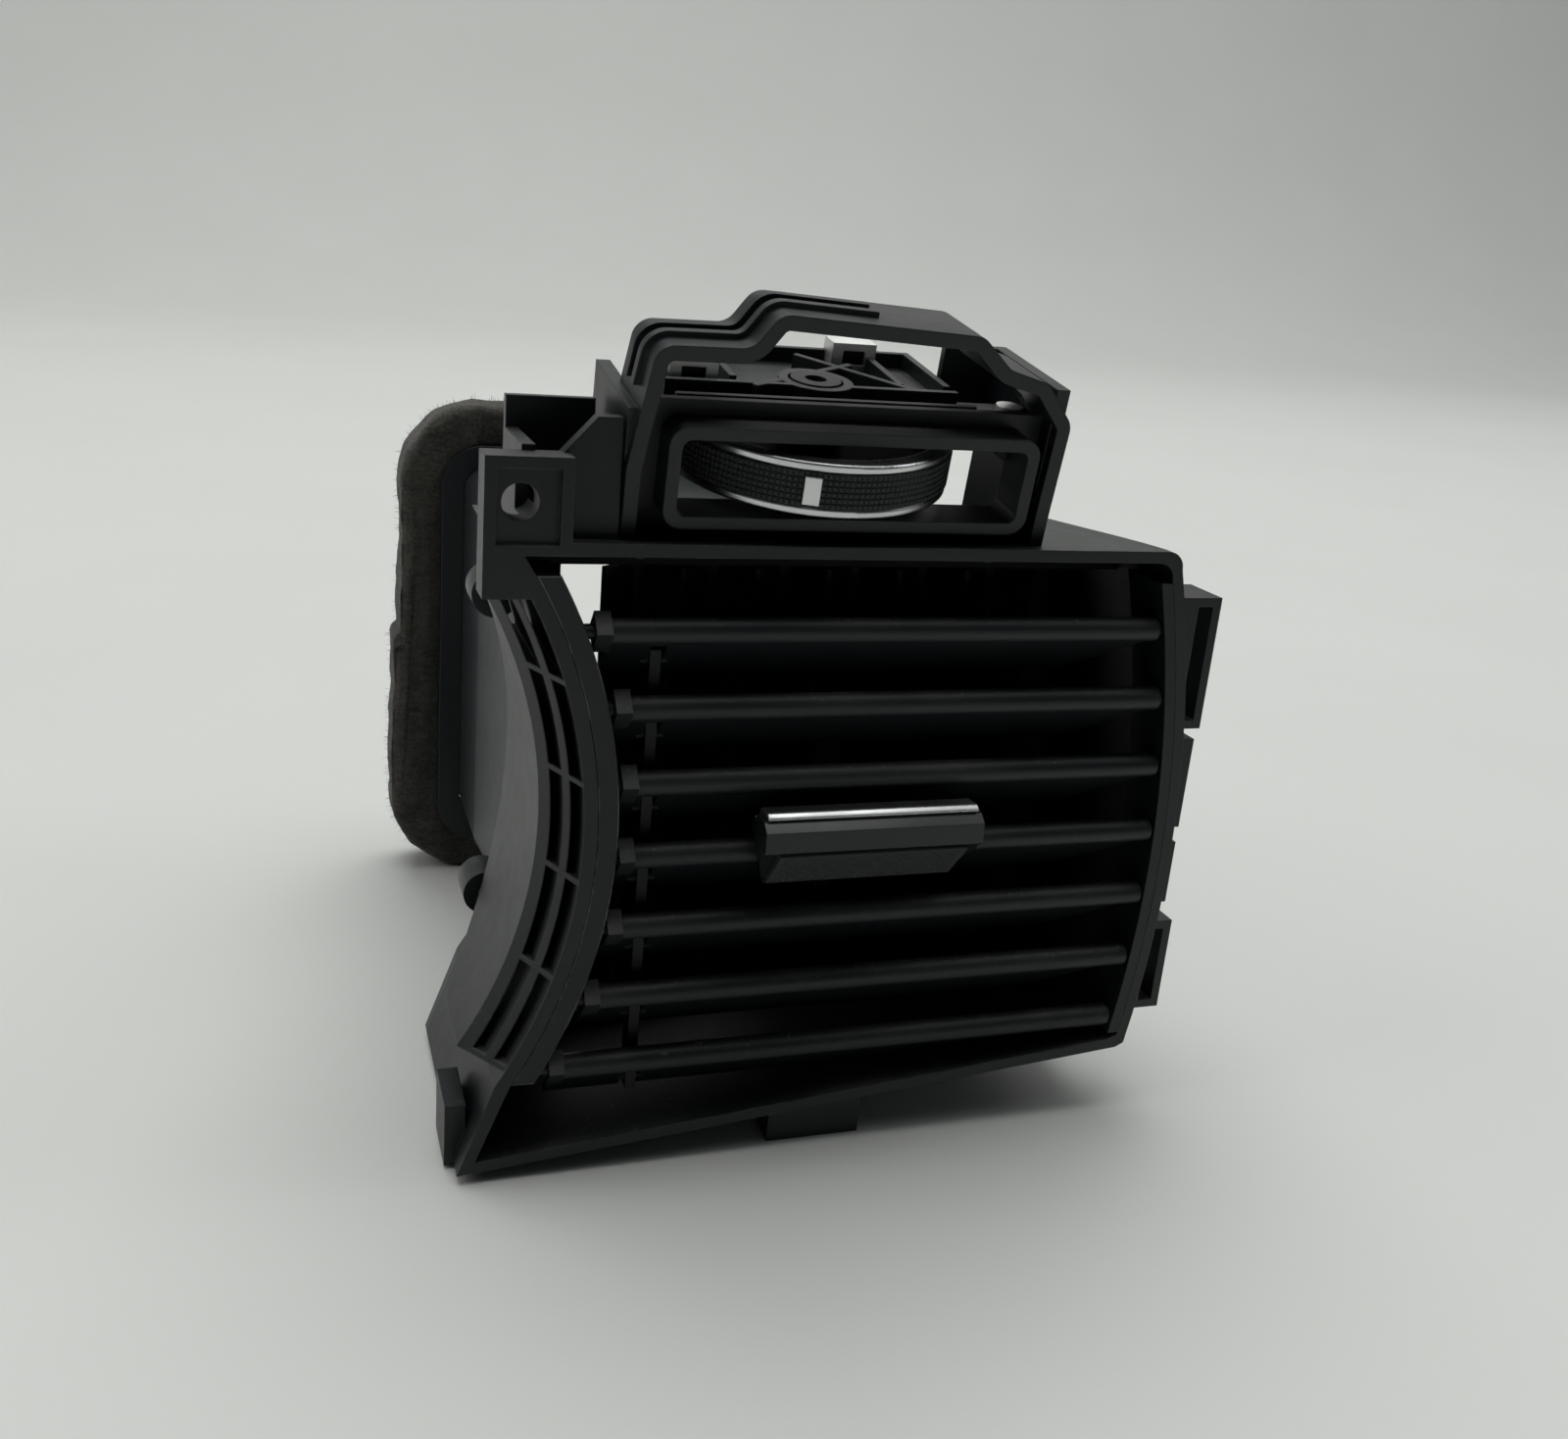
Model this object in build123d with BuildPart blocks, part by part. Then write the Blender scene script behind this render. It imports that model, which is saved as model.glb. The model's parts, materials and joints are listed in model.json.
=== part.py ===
"""Dashboard air outlet: housing, two rows of vanes, thumbwheel, shut-off flap and rear duct.

Frame: +Z up, +X to the right seen from the front, +Y rearwards along the air duct.
The origin is at the middle of the footprint, on the surface that the outlet stands on.
All sizes are millimetres.
"""
from build123d import *
from math import atan2, cos, degrees, hypot, radians, sin, sqrt, tan
import os

os.makedirs("parts", exist_ok=True)

# ---------------------------------------------------------------- driving sizes
# The footprint's depth is shared out so that the origin lies in its middle.
FRONT_REACH = 8.4          # how far the slider knob stands in front of the vane pivots
SEAL_BACK = 138.0          # rear face of the felt seal, behind the vane pivots
FACE_Y = (FRONT_REACH - SEAL_BACK) / 2

# Housing outline, seen from the front
WALL = 2.0                 # moulded wall
HOUSING_TOP = 108.5
HOUSING_FRONT = -2.2       # front edge, measured from the vane pivots
HOUSING_DEPTH = 45.0       # rear face, measured from the vane pivots
ROOF_SLOPE = 5.0           # degrees, falling to the rear
RIGHT_ARC_X, RIGHT_ARC_Z, RIGHT_ARC_R = -146.0, 50.0, 208.0
LEFT_ARC_X, LEFT_ARC_Z, LEFT_ARC_R = -127.8, 62.0, 81.5
LEFT_WALL = 2.2
LOWER_LEFT = (-65.0, 1.8)
LOWER_RIGHT = (57.3, 13.3)
LEFT_ARC_END = 18.0        # height where the left arc meets the straight lower corner
CORNER_SPREAD, CORNER_LIFT = 1.3, 0.12   # how the inner outline leaves the sharp lower left corner
RIGHT_FOOT_RISE = 0.8      # straight stretch below the right arc
SHOULDER_R = 3.0           # round corner between the roof and the right wall

# Left carrier and ribbed side
LEFT_CARRIER = 3.3
RIGHT_CARRIER = 2.0
CARRIER_DEPTH = 11.0
CARRIER_TOP, LEFT_CARRIER_TOP = 103.0, 103.5
SIDE_PANEL_R = 76.0        # outer face of the smooth side panel, about the left arc's centre
SIDE_PANEL_WALL = 1.5
SIDE_BOTTOM, SIDE_TOP = 20.5, 104.0
SIDE_CELLS = 5
SIDE_RIB = 0.9
SIDE_BULGE_R = 44.4        # round rear edge of the side panel
SIDE_BULGE_D = -2.4
SIDE_BULGE_Z = 56.0
SIDE_BEVEL = 15.0
SIDE_BEVEL_ANGLE = 30.0

# Fits
SEAT_GAP = 0.1             # between pieces that are pushed or screwed together
RUN_GAP = 0.05             # radial, a pin in its bore
MOVE_GAP = 0.4             # beside anything that moves

# Horizontal vanes
VANE_COUNT = 7
VANE_PITCH = 12.5
TOP_VANE_Z = 94.5
VANE_TILT = 48.0           # rear edge down, as parked
VANE_TILT_UP = 15.0        # rear edge up at the far stop
VANE_TILT_DOWN = 55.0      # rear edge down at the near stop
VANE_NOSE_R = 2.1
VANE_BLADE = 12.0
VANE_ROOT_T = 1.8
VANE_TIP_T = 1.1
VANE_PIN_R = 1.2
VANE_END_SLOPE = 13.0      # length of the sloping cut at the right end
VANE_END_CHORD = 2.5       # what that cut leaves of the blade
VANE_BEND_X = -12.0        # where the lowest vane's rear edge turns to follow the floor
VANE_CHEEK, VANE_CHEEK_W = (4.8, 4.4), 2.6
SLIDER_VANE = 4
LINK_X = -35.0
LINK_PIN_R = 1.0
LINK_PIN_REACH = 8.0
LINK_T = 1.8
LINK_W = 3.8
NOTCH_START = 3.1          # along the blade, clear of the tilted link

# Upright vanes
REAR_COUNT = 6
REAR_PITCH = 12.9
REAR_FIRST_X = -34.4
REAR_D = 22.0              # depth of their pivots
REAR_SWING = 54.5          # degrees, rear edge to the right, as parked
REAR_TRAVEL = 84.5         # degrees from one stop to the other
REAR_AHEAD = 8.0
REAR_BEHIND = 14.0
REAR_T = 1.4
REAR_HUB_R = 1.8
REAR_PIN_R = 1.2
REAR_TOP, REAR_BOTTOM = 100.4, 20.0
COMB_T = 3.0
COMB_DEPTH = 9.0
DRIVE_VANE = 4             # counted from the left
DRIVE_PIN_R = 1.0
DRIVE_NOTCH = (39.0, 75.0)
REAR_LINK_Z = 25.0
REAR_LINK_T = 1.8
REAR_LINK_REACH = 9.0

# Slider knob on the middle vane
SLIDER_X = 1.1
SLIDER_W = 38.4
FORK_ANGLE = 20.0          # above the blade
FORK_REACH = 22.8
FORK_SIDE_GAP = 0.6
FORK_PRONG = 1.6

# Thumbwheel and its bracket
TILT = 10.0                # the wheel and its bracket lean towards the user
WHEEL_R = 24.0
WHEEL_H = 8.6
WHEEL_X, WHEEL_D, WHEEL_Z = -7.4, 19.1, 121.5
WHEEL_TURN = 118.0
AXLE_R = 2.5
MARKER_ANGLE = -106.0
MARKER_W, MARKER_H = 2.7, 4.5
BRACKET_D, BRACKET_Z = 3.0, 107.0
BRACKET_WALL = 2.3
BRACKET_DEPTH = 15.0
BRACKET_LEFT, BRACKET_RIGHT = -41.8, 29.8
CHEEK_DEPTH = 27.0
CHEEK_TOP = 21.0
BEZEL_LEFT, BEZEL_RIGHT = -36.0, 25.0
BEZEL_LOW, BEZEL_HIGH = 110.5, 126.3
BEZEL_WALL = 2.0
BRIDGE_LIFT = 6.3          # underside of the bridge above the wheel's middle
BRIDGE_T = 1.6
BRIDGE_FRONT, BRIDGE_BACK = -11.2, 20.0
BRIDGE_SIDE_GAP = 1.7
BRIDGE_RIB = 2.6           # height of the ribs on the bridge
HOOP_CORNER = 3.3
RIDGE_DEPTHS = (4.5, 9.0)
RIDGE_W, RIDGE_H = 1.8, 0.9
WEB_TOP = 128.5            # top of the web that closes the hoop's lower part
WEB_WALL = 1.6
BEZEL_OUT, BEZEL_DEPTH = 1.5, 7.5
BEZEL_CORNER, BEZEL_HOLE_CORNER = 3.0, 1.5
LEDGE_IN, LEDGE_W, LEDGE_H = 2.4, 5.4, 4.0
BRIDGE_SCREW_Y, BRIDGE_SCREW_BITE = -6.0, 4.5
BRIDGE_HEAD_R = 2.3
BRACKET_HEAD_R = 2.6
FOOT_HALF_W, FOOT_REACH, FOOT_T = 3.2, 4.0, 2.2
SCREW_HEAD_H = 1.6
CLIP_W, CLIP_DEPTH, CLIP_H = 8.0, 4.6, 4.8
CLIP_SHEET = 0.6
CLIP_PLACES = ((-20.5, 2.4), (12.0, 17.4))   # on the bridge, from the wheel's axis
CLIP_TAB_W, CLIP_TAB_T, CLIP_TAB_H = 6.0, 2.0, 4.0
AXLE_DIMPLE_R, AXLE_DIMPLE = 1.8, 2.2

# Rear duct
DUCT_FLANGE_T = 3.0
NECK_D = 98.0
NECK_LEFT, NECK_RIGHT = -47.5, 12.5
NECK_LOW, NECK_HIGH = 17.5, 95.5
NECK_CORNER = 2.5
THROAT_LEFT, THROAT_RIGHT = -42.5, 52.5
THROAT_LOW, THROAT_HIGH = 16.5, 99.0
COLLAR_FRONT = 124.0
COLLAR_LEFT, COLLAR_RIGHT = -54.5, 18.5
COLLAR_LOW, COLLAR_HIGH = 8.0, 102.5
COLLAR_WALL = 2.5
COLLAR_CORNER = 9.0
SEAL_T = 8.0
SEAL_FRONT = 126.0

# Shut-off flap
FLAP_X, FLAP_D = 9.0, 99.0
FLAP_W = 55.5
FLAP_T = 2.2
FLAP_LIP = 2.4
FLAP_SHAFT_R = 3.0
FLAP_REST = -60.0          # direction of the open flap, degrees from +X seen from above
CRANK_R = 8.0
CRANK_ANGLE = 48.0
ROD_LOW, ROD_HIGH = 110.0, 112.0
ROD_W = 4.6

# Screws
SCREW_R = 1.5
SCREW_HOLE_R = 1.8
SCREW_HEAD_R = 3.0
CASE_HEAD_H = 2.0
LUG_R = 4.2
LUG_T = 5.0
EAR_HOLE_R = 2.8
EAR_X, EAR_Z = -57.6, 114.2

# Things that stand on the housing: clip loops and lugs, feet, and the ear with its stiffeners
CLIP_LOOPS = ((76.0, 100.0, 65.0), (20.0, 38.0, 66.5))     # low, high, reach
LOOP_FRONT, LOOP_BACK = 0.0, 10.0
LOOP_WALL, LOOP_HOLE = 1.6, 2.9
SIDE_LUGS = ((57.0, 74.0), (42.0, 54.0))
SIDE_LUG_H = 2.4
LUG_ROOT_X = 50.0
FRONT_FOOT = (-58.2, 6.0, 0.0, 6.0, 4.2)                   # x, depth, low, high, radius
CORNER_TAB = (-66.5, -63.0, 3.0, 15.0, 0.6, 12.0)
FLOOR_TAB_LEFT, FLOOR_TAB_RIGHT, FLOOR_TAB_DEPTH = -10.3, 7.0, 6.0
EAR_LEFT, EAR_RIGHT, EAR_LOW, EAR_HIGH = -63.0, -50.0, 100.0, 121.0
EAR_T, EAR_RIM, EAR_RECESS, EAR_RECESS_LOW = 6.2, 1.8, 1.2, 108.0
EAR_BORE_BACK = 8.0
EAR_WEB = ((-52, 120), (-46, 126.5), (-42.3, 126.5), (-42.3, 104), (-52, 104))
WEB_D, WEB_T = 2.0, 3.0
EAR_POST = (-57.0, -43.0, 19.0, 21.0, 101.0, 127.0)
EAR_RIB = (-57.0, -55.0, 3.0, 21.0, 101.0, 122.0)

# ---------------------------------------------------------------- values worked out
TILT_UP = Vector(0, -sin(radians(TILT)), cos(radians(TILT)))
TILT_BACK = Vector(0, cos(radians(TILT)), sin(radians(TILT)))
VANE_Z = [TOP_VANE_Z - VANE_PITCH * n for n in range(VANE_COUNT)]
REAR_X = [REAR_FIRST_X + REAR_PITCH * n for n in range(REAR_COUNT)]
BOTTOM_SLOPE = (LOWER_RIGHT[1] - LOWER_LEFT[1]) / (LOWER_RIGHT[0] - LOWER_LEFT[0])
CARRIER_R = LEFT_ARC_R + LEFT_WALL + LEFT_CARRIER
CARRIER_FOOT = LOWER_RIGHT[1] + WALL + 1.2


def arc_x(centre_x, centre_z, radius, z):
    """The right-hand point of a circle at height z."""
    return centre_x + sqrt(radius**2 - (z - centre_z) ** 2)


def left_x(radius, z):
    return arc_x(LEFT_ARC_X, LEFT_ARC_Z, radius, z)


def right_x(radius, z):
    return arc_x(RIGHT_ARC_X, RIGHT_ARC_Z, radius, z)


def floor_z(x):
    """Height of the housing's sloping underside."""
    return LOWER_LEFT[1] + BOTTOM_SLOPE * (x - LOWER_LEFT[0])


def roof_z(depth):
    """Height of the housing's roof, which falls to the rear."""
    return HOUSING_TOP - tan(radians(ROOF_SLOPE)) * (depth - HOUSING_FRONT)


def facing(depth):
    """Upright plane at a depth behind the vane pivots, drawn as seen from the front."""
    return Plane(origin=(0, FACE_Y + depth, 0), x_dir=(1, 0, 0), z_dir=(0, -1, 0))


def tilted(depth=0.0):
    """Plane parallel to the bracket's leaning face, depth behind it."""
    origin = Vector(0, FACE_Y + BRACKET_D, BRACKET_Z) + TILT_BACK * depth
    return Plane(origin=origin, x_dir=(1, 0, 0), z_dir=-TILT_BACK)


def wheel_plane(lift=0.0):
    """Plane across the wheel's axis, lift above the wheel's middle."""
    origin = Vector(WHEEL_X, FACE_Y + WHEEL_D, WHEEL_Z) + TILT_UP * lift
    return Plane(origin=origin, x_dir=(1, 0, 0), z_dir=TILT_UP)


def vane_section(x, z, tilt=VANE_TILT):
    """Plane across a horizontal vane: x runs along its blade, y stands on the blade."""
    run = (0, cos(radians(tilt)), -sin(radians(tilt)))
    return Plane(origin=(x, FACE_Y, z), x_dir=run, z_dir=(1, 0, 0))


def vane_plan(z, tilt=VANE_TILT):
    """Plane of a horizontal vane's blade: x across the outlet, y along the blade."""
    stand = (0, sin(radians(tilt)), cos(radians(tilt)))
    return Plane(origin=(0, FACE_Y, z), x_dir=(1, 0, 0), z_dir=stand)


def span(x_low, x_high, d_low, d_high, z_low, z_high, mode=Mode.ADD):
    """A block from its limits, the depth counted from the vane pivots."""
    centre = ((x_low + x_high) / 2, FACE_Y + (d_low + d_high) / 2, (z_low + z_high) / 2)
    with Locations(centre):
        Box(x_high - x_low, d_high - d_low, z_high - z_low, mode=mode)


def rectangle(x_low, x_high, z_low, z_high, corner):
    """A rounded rectangle in the current sketch, from its limits."""
    with Locations(((x_low + x_high) / 2, (z_low + z_high) / 2)):
        RectangleRounded(x_high - x_low, z_high - z_low, corner)


def rod_y(x, z, d_low, d_high, radius, mode=Mode.ADD):
    """A cylinder along the duct's direction."""
    with Locations(Location((x, FACE_Y + (d_low + d_high) / 2, z), (90, 0, 0))):
        Cylinder(radius, d_high - d_low, mode=mode)


def rod_z(x, depth, z_low, z_high, radius, mode=Mode.ADD):
    """An upright cylinder."""
    with Locations((x, FACE_Y + depth, (z_low + z_high) / 2)):
        Cylinder(radius, z_high - z_low, mode=mode)


def rod_x(x_low, x_high, depth, z, radius, mode=Mode.ADD):
    """A cylinder across the outlet."""
    with Locations(Location(((x_low + x_high) / 2, FACE_Y + depth, z), (0, 90, 0))):
        Cylinder(radius, x_high - x_low, mode=mode)


def save(piece, name):
    """Name a finished piece and write it."""
    piece.part.label = name
    export_step(piece.part, f"parts/{name}.step")


def outline(inset_left, inset):
    """Edges of the housing's outline, inset from its outer skin."""
    left_r = LEFT_ARC_R + inset_left
    right_r = RIGHT_ARC_R - inset
    top = HOUSING_TOP - inset
    low_left = (LOWER_LEFT[0] + CORNER_SPREAD * inset_left, LOWER_LEFT[1] + inset + CORNER_LIFT * inset_left)
    low_right = (LOWER_RIGHT[0] - inset, LOWER_RIGHT[1] + inset - BOTTOM_SLOPE * inset)
    arc_foot = (left_x(left_r, LEFT_ARC_END), LEFT_ARC_END)
    right_foot_z = low_right[1] + RIGHT_FOOT_RISE
    shoulder = (right_x(right_r, top - SHOULDER_R), top - SHOULDER_R)
    with BuildLine() as path:
        Line((left_x(left_r, top), top), (shoulder[0] - SHOULDER_R, top))
        ThreePointArc(
            (shoulder[0] - SHOULDER_R, top),
            (shoulder[0] - SHOULDER_R * (1 - sin(radians(45))), top - SHOULDER_R * (1 - sin(radians(45)))),
            shoulder,
        )
        ThreePointArc(
            shoulder,
            (right_x(right_r, RIGHT_ARC_Z), RIGHT_ARC_Z),
            (right_x(right_r, right_foot_z), right_foot_z),
        )
        Line((right_x(right_r, right_foot_z), right_foot_z), low_right)
        Line(low_right, low_left)
        Line(low_left, arc_foot)
        ThreePointArc(arc_foot, (LEFT_ARC_X + left_r, LEFT_ARC_Z), (left_x(left_r, top), top))
    return path.edges()


def roof_plane(drop=0.0):
    """The sloping plane of the roof, lowered by drop."""
    slope = radians(ROOF_SLOPE)
    origin = (0, FACE_Y + HOUSING_FRONT, HOUSING_TOP - drop)
    return Plane(origin=origin, x_dir=(1, 0, 0), z_dir=(0, sin(slope), cos(slope)))


# ---------------------------------------------------------------- shared envelopes
outer_edges = outline(0, 0)
inner_edges = outline(LEFT_WALL, WALL)
fitted_edges = outline(LEFT_WALL + SEAT_GAP, WALL + SEAT_GAP)

with BuildPart() as housing_envelope:
    with BuildSketch(facing(HOUSING_FRONT)):
        make_face(outer_edges)
    extrude(amount=-(HOUSING_DEPTH - HOUSING_FRONT))
    split(bisect_by=roof_plane(), keep=Keep.BOTTOM)

with BuildPart() as cavity:
    with BuildSketch(facing(HOUSING_FRONT - 5)):
        make_face(inner_edges)
    extrude(amount=-(HOUSING_DEPTH - HOUSING_FRONT + 10))
    split(bisect_by=roof_plane(WALL), keep=Keep.BOTTOM)

with BuildPart() as cavity_fit:
    with BuildSketch(facing(HOUSING_FRONT)):
        make_face(fitted_edges)
    extrude(amount=-(HOUSING_DEPTH - HOUSING_FRONT))
    split(bisect_by=roof_plane(WALL + SEAT_GAP), keep=Keep.BOTTOM)

# Feet of the control bracket on the roof
FOOT_X = (BRACKET_LEFT + BRACKET_WALL + 3, BRACKET_RIGHT - BRACKET_WALL - 3)
FOOT_D = 12.0

# Screw places that join the housing to the rear duct: x, z
LUGS = [
    (left_x(LEFT_ARC_R, 90) - 3.4, 90),
    (left_x(LEFT_ARC_R, 33) - 3.4, 33),
    (14.0, roof_z(HOUSING_DEPTH) + 3.4),
    (45.0, floor_z(45) - 3.2),
]

# ---------------------------------------------------------------- front housing
with BuildPart() as side_block:
    with BuildSketch(facing(HOUSING_FRONT)):
        with Locations((LEFT_ARC_X, LEFT_ARC_Z)):
            Circle(LEFT_ARC_R + 1)
            Circle(SIDE_PANEL_R, mode=Mode.SUBTRACT)
        with Locations((LEFT_ARC_X + 60, (SIDE_BOTTOM + SIDE_TOP) / 2)):
            Rectangle(60, SIDE_TOP - SIDE_BOTTOM, mode=Mode.INTERSECT)
    extrude(amount=-HOUSING_DEPTH)
    # Two rows of cells between the panel and the housing wall, parted by thin ribs
    middle_r = (SIDE_PANEL_R + SIDE_PANEL_WALL + LEFT_ARC_R) / 2
    with BuildSketch(facing(HOUSING_FRONT)):
        with Locations((LEFT_ARC_X, LEFT_ARC_Z)):
            Circle(LEFT_ARC_R + 0.4)
            Circle(SIDE_PANEL_R + SIDE_PANEL_WALL, mode=Mode.SUBTRACT)
        with Locations((LEFT_ARC_X + 60, (SIDE_BOTTOM + SIDE_TOP) / 2)):
            Rectangle(60, SIDE_TOP - SIDE_BOTTOM - 2 * SIDE_RIB, mode=Mode.INTERSECT)
        cell_pitch = (SIDE_TOP - SIDE_BOTTOM) / SIDE_CELLS
        for cell in range(1, SIDE_CELLS):
            with Locations(Location((LEFT_ARC_X, LEFT_ARC_Z))):
                rib_z = SIDE_BOTTOM + cell * cell_pitch - LEFT_ARC_Z
                with Locations(Location((sqrt(middle_r**2 - rib_z**2), rib_z), -12)):
                    Rectangle(9, SIDE_RIB, mode=Mode.SUBTRACT)
        with BuildLine():
            CenterArc((LEFT_ARC_X, LEFT_ARC_Z), middle_r, -50, 100)
        trace(line_width=SIDE_RIB, mode=Mode.SUBTRACT)
    extrude(amount=-HOUSING_DEPTH, mode=Mode.SUBTRACT)
    # The panel's rear edge is round, and its front edge slopes away from the wall
    with BuildSketch(Plane.YZ.offset(-90)):
        with Locations((FACE_Y + SIDE_BULGE_D, SIDE_BULGE_Z)):
            Circle(SIDE_BULGE_R)
    extrude(amount=80, mode=Mode.INTERSECT)
    bevel_lead = 1.5
    with BuildSketch(facing(HOUSING_FRONT - bevel_lead)):
        with Locations((LEFT_ARC_X, LEFT_ARC_Z)):
            Circle(LEFT_ARC_R + 0.3 + bevel_lead * tan(radians(SIDE_BEVEL_ANGLE)))
    extrude(amount=-SIDE_BEVEL, taper=SIDE_BEVEL_ANGLE, mode=Mode.SUBTRACT)

with BuildPart() as front_case:
    add(housing_envelope.part)
    add(side_block.part)
    # Lugs for the duct screws
    for lug_x, lug_z in LUGS:
        rod_y(lug_x, lug_z, HOUSING_DEPTH - LUG_T, HOUSING_DEPTH, LUG_R)
    # Clip loops and lugs on the right wall
    for loop_low, loop_high, reach in CLIP_LOOPS:
        span(LUG_ROOT_X, reach, LOOP_FRONT, LOOP_BACK, loop_low, loop_high)
        span(reach - LOOP_HOLE - LOOP_WALL, reach - LOOP_WALL, LOOP_FRONT - 1, LOOP_BACK + 1,
             loop_low + LOOP_WALL, loop_high - LOOP_WALL, Mode.SUBTRACT)
    for lug_low, lug_high in SIDE_LUGS:
        span(LUG_ROOT_X, right_x(RIGHT_ARC_R, lug_low) + SIDE_LUG_H, LOOP_FRONT, LOOP_BACK, lug_low, lug_high)
    # Round foot, corner tab and the tab under the floor
    rod_z(*FRONT_FOOT)
    span(*CORNER_TAB)
    span(FLOOR_TAB_LEFT, FLOOR_TAB_RIGHT, 0, FLOOR_TAB_DEPTH, 0, floor_z(FLOOR_TAB_LEFT) + 1)
    # Mounting ear with its raised rim, the web to the bracket and the post behind it
    span(EAR_LEFT, EAR_RIGHT, HOUSING_FRONT, EAR_T + HOUSING_FRONT, EAR_LOW, EAR_HIGH)
    span(EAR_LEFT + EAR_RIM, EAR_RIGHT - EAR_RIM, HOUSING_FRONT - 1, HOUSING_FRONT + EAR_RECESS,
         EAR_RECESS_LOW, EAR_HIGH - EAR_RIM, Mode.SUBTRACT)
    with BuildSketch(facing(WEB_D)):
        with BuildLine():
            Polyline(*EAR_WEB, close=True)
        make_face()
    extrude(amount=-WEB_T)
    span(*EAR_POST)
    span(*EAR_RIB)
    rod_y(EAR_X, EAR_Z, HOUSING_FRONT - 2, EAR_BORE_BACK, EAR_HOLE_R, Mode.SUBTRACT)
    add(cavity.part, mode=Mode.SUBTRACT)
    for lug_x, lug_z in LUGS:
        rod_y(lug_x, lug_z, HOUSING_DEPTH - LUG_T, HOUSING_DEPTH, SCREW_R + RUN_GAP, Mode.SUBTRACT)
    for foot_x in FOOT_X:
        rod_z(foot_x, FOOT_D, HOUSING_TOP - 8, HOUSING_TOP + 2, SCREW_R + RUN_GAP, Mode.SUBTRACT)
save(front_case, "front_case")

# ---------------------------------------------------------------- vane carriers and combs
with BuildPart() as left_carrier:
    with BuildSketch(facing(HOUSING_FRONT)):
        with Locations((LEFT_ARC_X, LEFT_ARC_Z)):
            Circle(CARRIER_R)
            Circle(LEFT_ARC_R + LEFT_WALL + SEAT_GAP, mode=Mode.SUBTRACT)
        with Locations((LEFT_ARC_X + 60, (LEFT_ARC_END + LEFT_CARRIER_TOP) / 2)):
            Rectangle(70, LEFT_CARRIER_TOP - LEFT_ARC_END, mode=Mode.INTERSECT)
    extrude(amount=-CARRIER_DEPTH)
    for z in VANE_Z:
        rod_x(left_x(CARRIER_R, z) - 10, left_x(CARRIER_R, z) + 6, 0, z, VANE_PIN_R + RUN_GAP, Mode.SUBTRACT)
save(left_carrier, "left_carrier")

with BuildPart() as right_carrier:
    carrier_outer = RIGHT_ARC_R - WALL - SEAT_GAP
    with BuildSketch(facing(HOUSING_FRONT)):
        with Locations((RIGHT_ARC_X, RIGHT_ARC_Z)):
            Circle(carrier_outer)
            Circle(carrier_outer - RIGHT_CARRIER, mode=Mode.SUBTRACT)
        with Locations((RIGHT_ARC_X + 200, (CARRIER_FOOT + CARRIER_TOP) / 2)):
            Rectangle(30, CARRIER_TOP - CARRIER_FOOT, mode=Mode.INTERSECT)
    extrude(amount=-CARRIER_DEPTH)
    for z in VANE_Z:
        rod_x(right_x(carrier_outer, z) - 6, right_x(carrier_outer, z) + 4, 0, z, VANE_PIN_R + RUN_GAP,
              Mode.SUBTRACT)
save(right_carrier, "right_carrier")

COMB_TOP = roof_z(REAR_D + COMB_DEPTH / 2) - WALL - SEAT_GAP
for name, comb_low, comb_high in (
    ("top_comb", REAR_TOP + MOVE_GAP, COMB_TOP),
    ("bottom_comb", REAR_BOTTOM - MOVE_GAP - COMB_T, REAR_BOTTOM - MOVE_GAP),
):
    with BuildPart() as comb:
        span(-70, 70, REAR_D - COMB_DEPTH / 2, REAR_D + COMB_DEPTH / 2, comb_low, comb_high)
        add(cavity_fit.part, mode=Mode.INTERSECT)
        for x in REAR_X:
            rod_z(x, REAR_D, comb_low - 1, comb_high + 1, REAR_PIN_R + RUN_GAP, Mode.SUBTRACT)
    save(comb, name)

# ---------------------------------------------------------------- horizontal vanes
VANE_RISE = VANE_BLADE * sin(radians(VANE_TILT_UP)) + 1
VANE_DROP = VANE_BLADE * sin(radians(VANE_TILT_DOWN)) + 1


def arc_limit(side_x, radius, z, low, high, pick):
    """How near a side wall comes anywhere between two heights about z."""
    heights = [z + low + (high - low) * step / 8 for step in range(9)]
    return pick(side_x(radius, height) for height in heights)


def blade_room(z, x):
    """Length of a vane's blade at x: full, or what the sloping floor leaves below the lowest vane."""
    room = (z - floor_z(x) - WALL - 2 * MOVE_GAP) / sin(radians(VANE_TILT_DOWN))
    return min(VANE_BLADE, room)


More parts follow.
